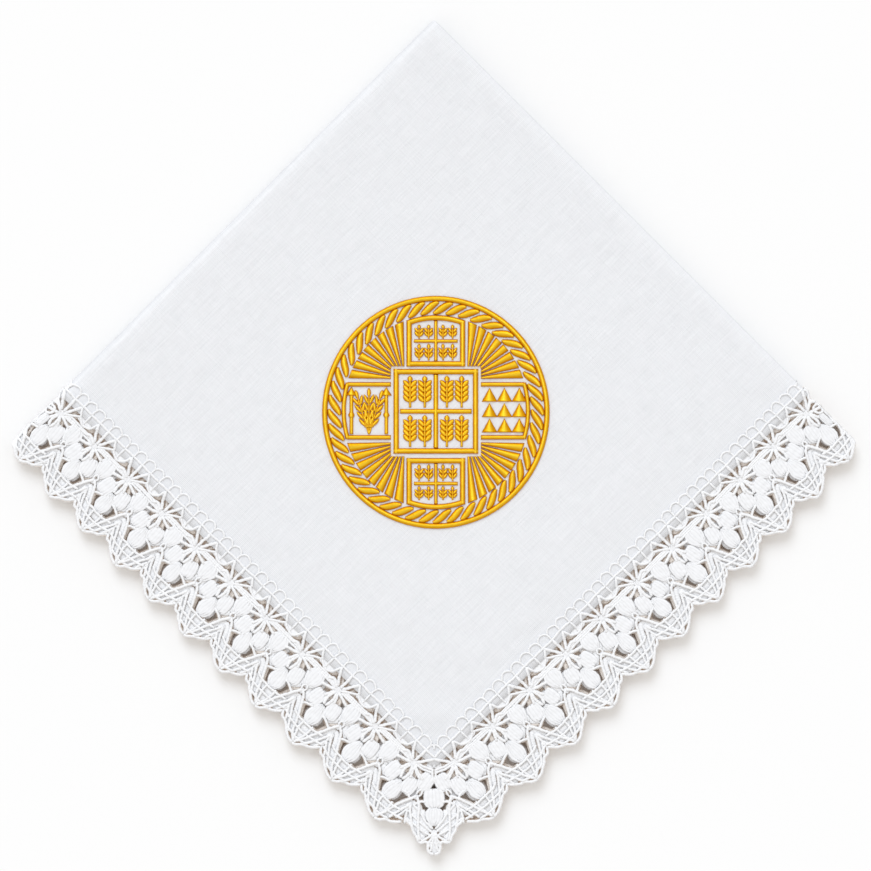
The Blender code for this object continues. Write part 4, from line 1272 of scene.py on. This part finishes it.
def linen_mesh(puff):
    """The whole square of linen, folded in quarters, as one thin closed sheet."""
    u = line_places(FIRST_BEND, FIRST_BEND_LINES)
    v = line_places(SECOND_BEND, SECOND_BEND_LINES)
    grid_u, grid_v = np.meshgrid(u, v, indexing="ij")
    sheets = [np.stack([grid_u, grid_v, np.full(grid_u.shape, n)], -1) for n in (SHEET_TOP, SHEET_BOTTOM)]
    points = fold(np.stack(sheets), puff).reshape(-1, 3)
    index = np.arange(grid_u.size).reshape(grid_u.shape)
    top = np.stack([index[:-1, :-1], index[1:, :-1], index[1:, 1:], index[:-1, 1:]], -1).reshape(-1, 4)
    bottom = top[:, ::-1] + grid_u.size
    rim = np.concatenate([index[:, 0], index[-1, 1:], index[-2::-1, -1], index[0, -2:0:-1]])
    beyond = np.roll(rim, -1)
    sides = np.stack([rim, rim + grid_u.size, beyond + grid_u.size, beyond], -1)
    flat = np.concatenate([np.stack([grid_u, grid_v], -1).reshape(-1, 2)] * 2)
    gathered = Gathered()
    gathered.add(points, *[(faces, flat[faces]) for faces in (top, bottom, sides)])
    return gathered.mesh("linen")


def colour_setting(name, description, default):
    return FloatVectorProperty(
        name=name, description=description, subtype="COLOR", size=3, min=0, max=1, default=default
    )


def number_setting(name, description, default, unit="NONE"):
    return FloatProperty(name=name, description=description, default=default, unit=unit)


class TowelLinenLooks(bpy.types.PropertyGroup):
    """How the linen looks and lies."""

    colour: colour_setting("Colour", "Colour of the linen", (0.786, 0.796, 0.820))
    weave_pitch: number_setting("Weave Pitch", "Distance between two threads", 0.0006, "LENGTH")
    slub_contrast: number_setting("Slub Contrast", "How much thick threads differ in shade", 0.056)
    mottle_contrast: number_setting("Mottle Contrast", "How much soft patches differ in shade", 0.006)
    # Painted light: how much lighter the colour is made beside the folds
    fold_painted_light: number_setting("Fold Lightness", "How much lighter the pressed folds are", 0.03)
    # Painted shade: how much darker the colour is made on a fold's outermost rim
    rim_painted_shade: number_setting("Rim Darkness", "How much darker the outermost rim of a fold is", 0.10)
    puff: number_setting("Wave Height", "How far the towel's waves stand up", 0.0006, "LENGTH")


class TowelLaceLooks(bpy.types.PropertyGroup):
    """How the crocheted lace looks."""

    colour: colour_setting("Colour", "Colour of the crochet cotton", (0.868, 0.872, 0.886))
    petal_colour: colour_setting("Petal Colour", "Colour of the petals' cotton", (0.843, 0.848, 0.866))
    # Painted shade: a darker, warmer colour for the layers between, seen through the lace's gaps
    lower_painted_shade_colour: colour_setting("Lower Painted Shade", "Colour of the lower layers' cotton", (0.86, 0.825, 0.785))
    # Painted light: the faint warm glow of the lower quarters
    painted_light_through: colour_setting("Light Through", "Light through the lower layers", (0.060, 0.041, 0.028))
    strand_width: number_setting("Strand Width", "Thickness of the strands against the chart", 1.0)
    ply_length: number_setting("Ply Length", "Length of one turn of the thread", 0.0011, "LENGTH")
    # Painted shade: how much darker the grooves between the petals' rows are
    groove_painted_shade: number_setting("Groove Contrast", "How much darker the petals' grooves are", 0.07)
    petal_height: number_setting("Petal Height", "How thick the petals are", 0.0007, "LENGTH")


class TowelGoldLooks(bpy.types.PropertyGroup):
    """How the gold embroidery looks."""

    colour: colour_setting("Colour", "Colour of the gold thread", (0.735, 0.328, 0.002))
    # Painted highlight: the colour along the top of each stitch
    crown_painted_highlight: colour_setting("Crown Painted Highlight", "Colour where stitches are highest", (0.885, 0.585, 0.035))
    # Painted shade: the colour where each stitch goes down to the linen
    edge_painted_shade: colour_setting("Edge Painted Shade", "Colour where stitches go down", (0.37, 0.105, 0.0005))
    stitch_pitch: number_setting("Stitch Pitch", "Distance between two stitches", 0.00042, "LENGTH")
    stitch_height: number_setting("Stitch Height", "How plump the stitching is against the pattern", 1.0)


class TowelStageLooks(bpy.types.PropertyGroup):
    """The floor, the light and the camera."""

    floor_colour: colour_setting("Floor Colour", "Colour of the floor", (0.88, 0.88, 0.88))
    room_light: number_setting("Room Light", "Strength of the light from all round", 0.86)
    room_colour: colour_setting("Room Colour", "Colour of the light from all round", (1.0, 0.975, 0.945))
    window_light: number_setting("Window Light", "Strength of the large soft light", 1.37)
    window_spread: number_setting("Window Spread", "How wide the soft light looks", 0.60, "ROTATION")
    window_colour: colour_setting("Window Colour", "Colour of the large soft light", (0.85, 0.918, 1.0))
    camera_height: number_setting("Camera Height", "Height of the camera over the table", 1.8, "LENGTH")


class TOWEL_OT_linen(bpy.types.Operator):
    """Make the linen, folded in quarters, that the lace and the embroidery lie on"""

    bl_idname = "towel.linen"
    bl_label = "Linen"

    def execute(self, context):
        looks = context.scene.towel_linen
        piece = add_piece("linen", linen_mesh(looks.puff), linen_material(looks), "cloth", "cloth")
        return {"FINISHED"}


class TOWEL_OT_lace(bpy.types.Operator):
    """Crochet the four quarters of the lace edging"""

    bl_idname = "towel.lace"
    bl_label = "Lace Edging"

    def execute(self, context):
        looks = context.scene.towel_lace
        puff = context.scene.towel_linen.puff
        rows = ("Stitch Rows", row_group, "Groove Depth", looks.groove_painted_shade)
        plies = ("Twisted Thread", twist_group, "Ply Length", looks.ply_length)
        petal = cotton_material("Crochet Petals", looks.petal_colour, rows, contrast=1.0)
        for name, quarter in QUARTERS.items():
            # The layers between are coloured darker and warmer: painted shade deep in the stack
            colour = looks.lower_painted_shade_colour if name in BETWEEN else looks.colour
            thread = cotton_material(name + " Cotton", colour, plies, contrast=0.018)
            # The lower quarters glow faintly in a warm colour: painted light in place of light through and
            # between the layers
            if name != "lace_top":
                shader = thread.node_tree.nodes["Principled BSDF"]
                shader.inputs["Emission Color"].default_value = (*looks.painted_light_through, 1)
                shader.inputs["Emission Strength"].default_value = 1.0
            lace = LaceQuarter(looks=looks, puff=puff, **quarter)
            lace.crochet()
            parts = (("_strands", lace.threads, thread), ("_petals", lace.petals, petal))
            for word, gathered, cotton in parts:
                add_piece(name + word, gathered.mesh(name + word), cotton, "lace", "lace_edging")
        return {"FINISHED"}


def embroider(context, name, seed, work, *nodes):
    """Makes one gold piece by calling work with an empty embroidery."""
    gold = bpy.data.materials.get("Gold Satin Stitch") or gold_material(context.scene.towel_gold)
    embroidery = Embroidery(context.scene.towel_gold, context.scene.towel_linen.puff, seed)
    work(embroidery)
    add_piece(name, embroidery.gathered.mesh(name), gold, "gold_thread", *nodes)


class TOWEL_OT_cord(bpy.types.Operator):
    """Embroider the ring and the twisted rope inside it"""

    bl_idname = "towel.cord"
    bl_label = "Ring and Rope"

    def execute(self, context):
        embroider(context, "gold_ring", 21, Embroidery.ring, "emblem_ring")
        embroider(context, "gold_rope", 22, Embroidery.rope, "emblem_rope")
        return {"FINISHED"}


class TOWEL_OT_frames(bpy.types.Operator):
    """Embroider the square and arched frames with their crosses and wheat ears"""

    bl_idname = "towel.frames"
    bl_label = "Frames and Wheat"

    def execute(self, context):
        embroider(context, "gold_centre", 23, Embroidery.centre, "emblem_centre")
        embroider(context, "gold_top_panel", 24, lambda work: work.panel(1), "emblem_top_panel")
        embroider(context, "gold_bottom_panel", 25, lambda work: work.panel(-1), "emblem_bottom_panel")
        return {"FINISHED"}


class TOWEL_OT_sides(bpy.types.Operator):
    """Embroider the two side panels: spears and a sheaf on the left, triangles on the right"""

    bl_idname = "towel.sides"
    bl_label = "Side Panels"

    def execute(self, context):
        floor = SIDE_BOTTOM + SIDE_WIDE

        def left(work):
            work.side_frame(-1)
            for x in SPEAR_PLACES:
                work.spear(x, floor + OVERLAP, SPEAR_TOP)
            for lean in (-SHEAF_LEAN, SHEAF_LEAN, 0.0):
                work.ear(SHEAF_X, floor + OVERLAP, SHEAF_HIGH, SHEAF_EAR_WIDE, EAR_PAIRS, lean)
            tie = floor + TIE_UP
            work.straight((SHEAF_X - TIE_HALF, tie), (SHEAF_X + TIE_HALF, tie), TIE_WIDE, BOSS_HIGH)

        def triangles(work):
            for base in TRIANGLE_BASES:
                for middle in TRIANGLE_MIDDLES:
                    work.triangle(middle, base, TRIANGLE_HALF, TRIANGLE_HIGH)

        embroider(context, "gold_left_panel", 26, left, "emblem_left_panel")
        embroider(context, "gold_right_panel", 27, lambda work: work.side_frame(1), "emblem_right_panel")
        rows = [f"emblem_triangles_{i}" for i in (1, 2, 3)]
        embroider(context, "gold_triangles", 28, triangles, *rows)
        return {"FINISHED"}


class TOWEL_OT_rays(bpy.types.Operator):
    """Embroider the four fans of rays between the panels"""

    bl_idname = "towel.rays"
    bl_label = "Rays"

    def execute(self, context):
        fans = {"top_left": (-1, 1), "top_right": (1, 1), "bottom_left": (-1, -1), "bottom_right": (1, -1)}
        for seed, (word, ways) in enumerate(fans.items(), start=31):
            solids = "emblem_rays_" + word
            embroider(context, "gold_rays_" + word, seed, lambda work: work.fan(*ways), solids)
        return {"FINISHED"}


class TOWEL_OT_stage(bpy.types.Operator):
    """Set the pale floor, the soft light and the camera straight above"""

    bl_idname = "towel.stage"
    bl_label = "Stage"

    def execute(self, context):
        looks = context.scene.towel_stage
        scene = context.scene
        bpy.ops.mesh.primitive_plane_add(size=FLOOR_SIZE)
        floor = context.object
        floor.name = "floor"
        material, _, shader = new_material("Pale Floor", 1.0, 0.0)
        shader.inputs["Base Color"].default_value = (*looks.floor_colour, 1)
        floor.data.materials.append(material)

        world = bpy.data.worlds.new("Soft Room")
        world.use_nodes = True
        background = world.node_tree.nodes["Background"]
        background.inputs["Color"].default_value = (*looks.room_colour, 1)
        background.inputs["Strength"].default_value = looks.room_light
        scene.world = world

        light = bpy.data.lights.new("window", "SUN")
        light.angle = looks.window_spread
        light.energy = looks.window_light
        light.color = looks.window_colour
        window = bpy.data.objects.new("window", light)
        window.location = WINDOW_PLACE
        window.rotation_euler = (-window.location).to_track_quat("-Z", "Y").to_euler()
        scene.collection.objects.link(window)

        lens = bpy.data.cameras.new("camera")
        lens.sensor_width = SENSOR_WIDE
        lens.lens = SENSOR_WIDE * (looks.camera_height - TOP_FACE) / VIEW_WIDE
        camera = bpy.data.objects.new("camera", lens)
        camera.location = (*VIEW_MIDDLE, looks.camera_height)
        scene.collection.objects.link(camera)
        scene.camera = camera
        scene.view_settings.view_transform = "Standard"
        scene.view_settings.look = "None"
        return {"FINISHED"}


PIECES = (
    TOWEL_OT_lace,
    TOWEL_OT_cord,
    TOWEL_OT_frames,
    TOWEL_OT_sides,
    TOWEL_OT_rays,
    TOWEL_OT_linen,
    TOWEL_OT_stage,
)


class TOWEL_PT_panel(bpy.types.Panel):
    """Lists the towel's pieces and what may be changed"""

    bl_idname = "TOWEL_PT_panel"
    bl_label = "Prosphora Towel"
    bl_space_type = "VIEW_3D"
    bl_region_type = "UI"
    bl_category = "Towel"

    def draw(self, context):
        layout = self.layout
        for group in LOOKS:
            looks = getattr(context.scene, group)
            box = layout.box()
            for name in looks.__annotations__:
                box.prop(looks, name)
        for piece in PIECES:
            layout.operator(piece.bl_idname)


LOOKS = {
    "towel_linen": TowelLinenLooks,
    "towel_lace": TowelLaceLooks,
    "towel_gold": TowelGoldLooks,
    "towel_stage": TowelStageLooks,
}


def register():
    for kind in (*LOOKS.values(), *PIECES, TOWEL_PT_panel):
        bpy.utils.register_class(kind)
    for name, kind in LOOKS.items():
        setattr(bpy.types.Scene, name, PointerProperty(type=kind))


def unregister():
    for name in LOOKS:
        delattr(bpy.types.Scene, name)
    for kind in (TOWEL_PT_panel, *reversed(PIECES), *LOOKS.values()):
        bpy.utils.unregister_class(kind)


def main():
    register()
    bpy.ops.towel.lace()
    bpy.ops.towel.cord()
    bpy.ops.towel.frames()
    bpy.ops.towel.sides()
    bpy.ops.towel.rays()
    bpy.ops.towel.linen()
    bpy.ops.towel.stage()


if __name__ == "__main__":
    main()
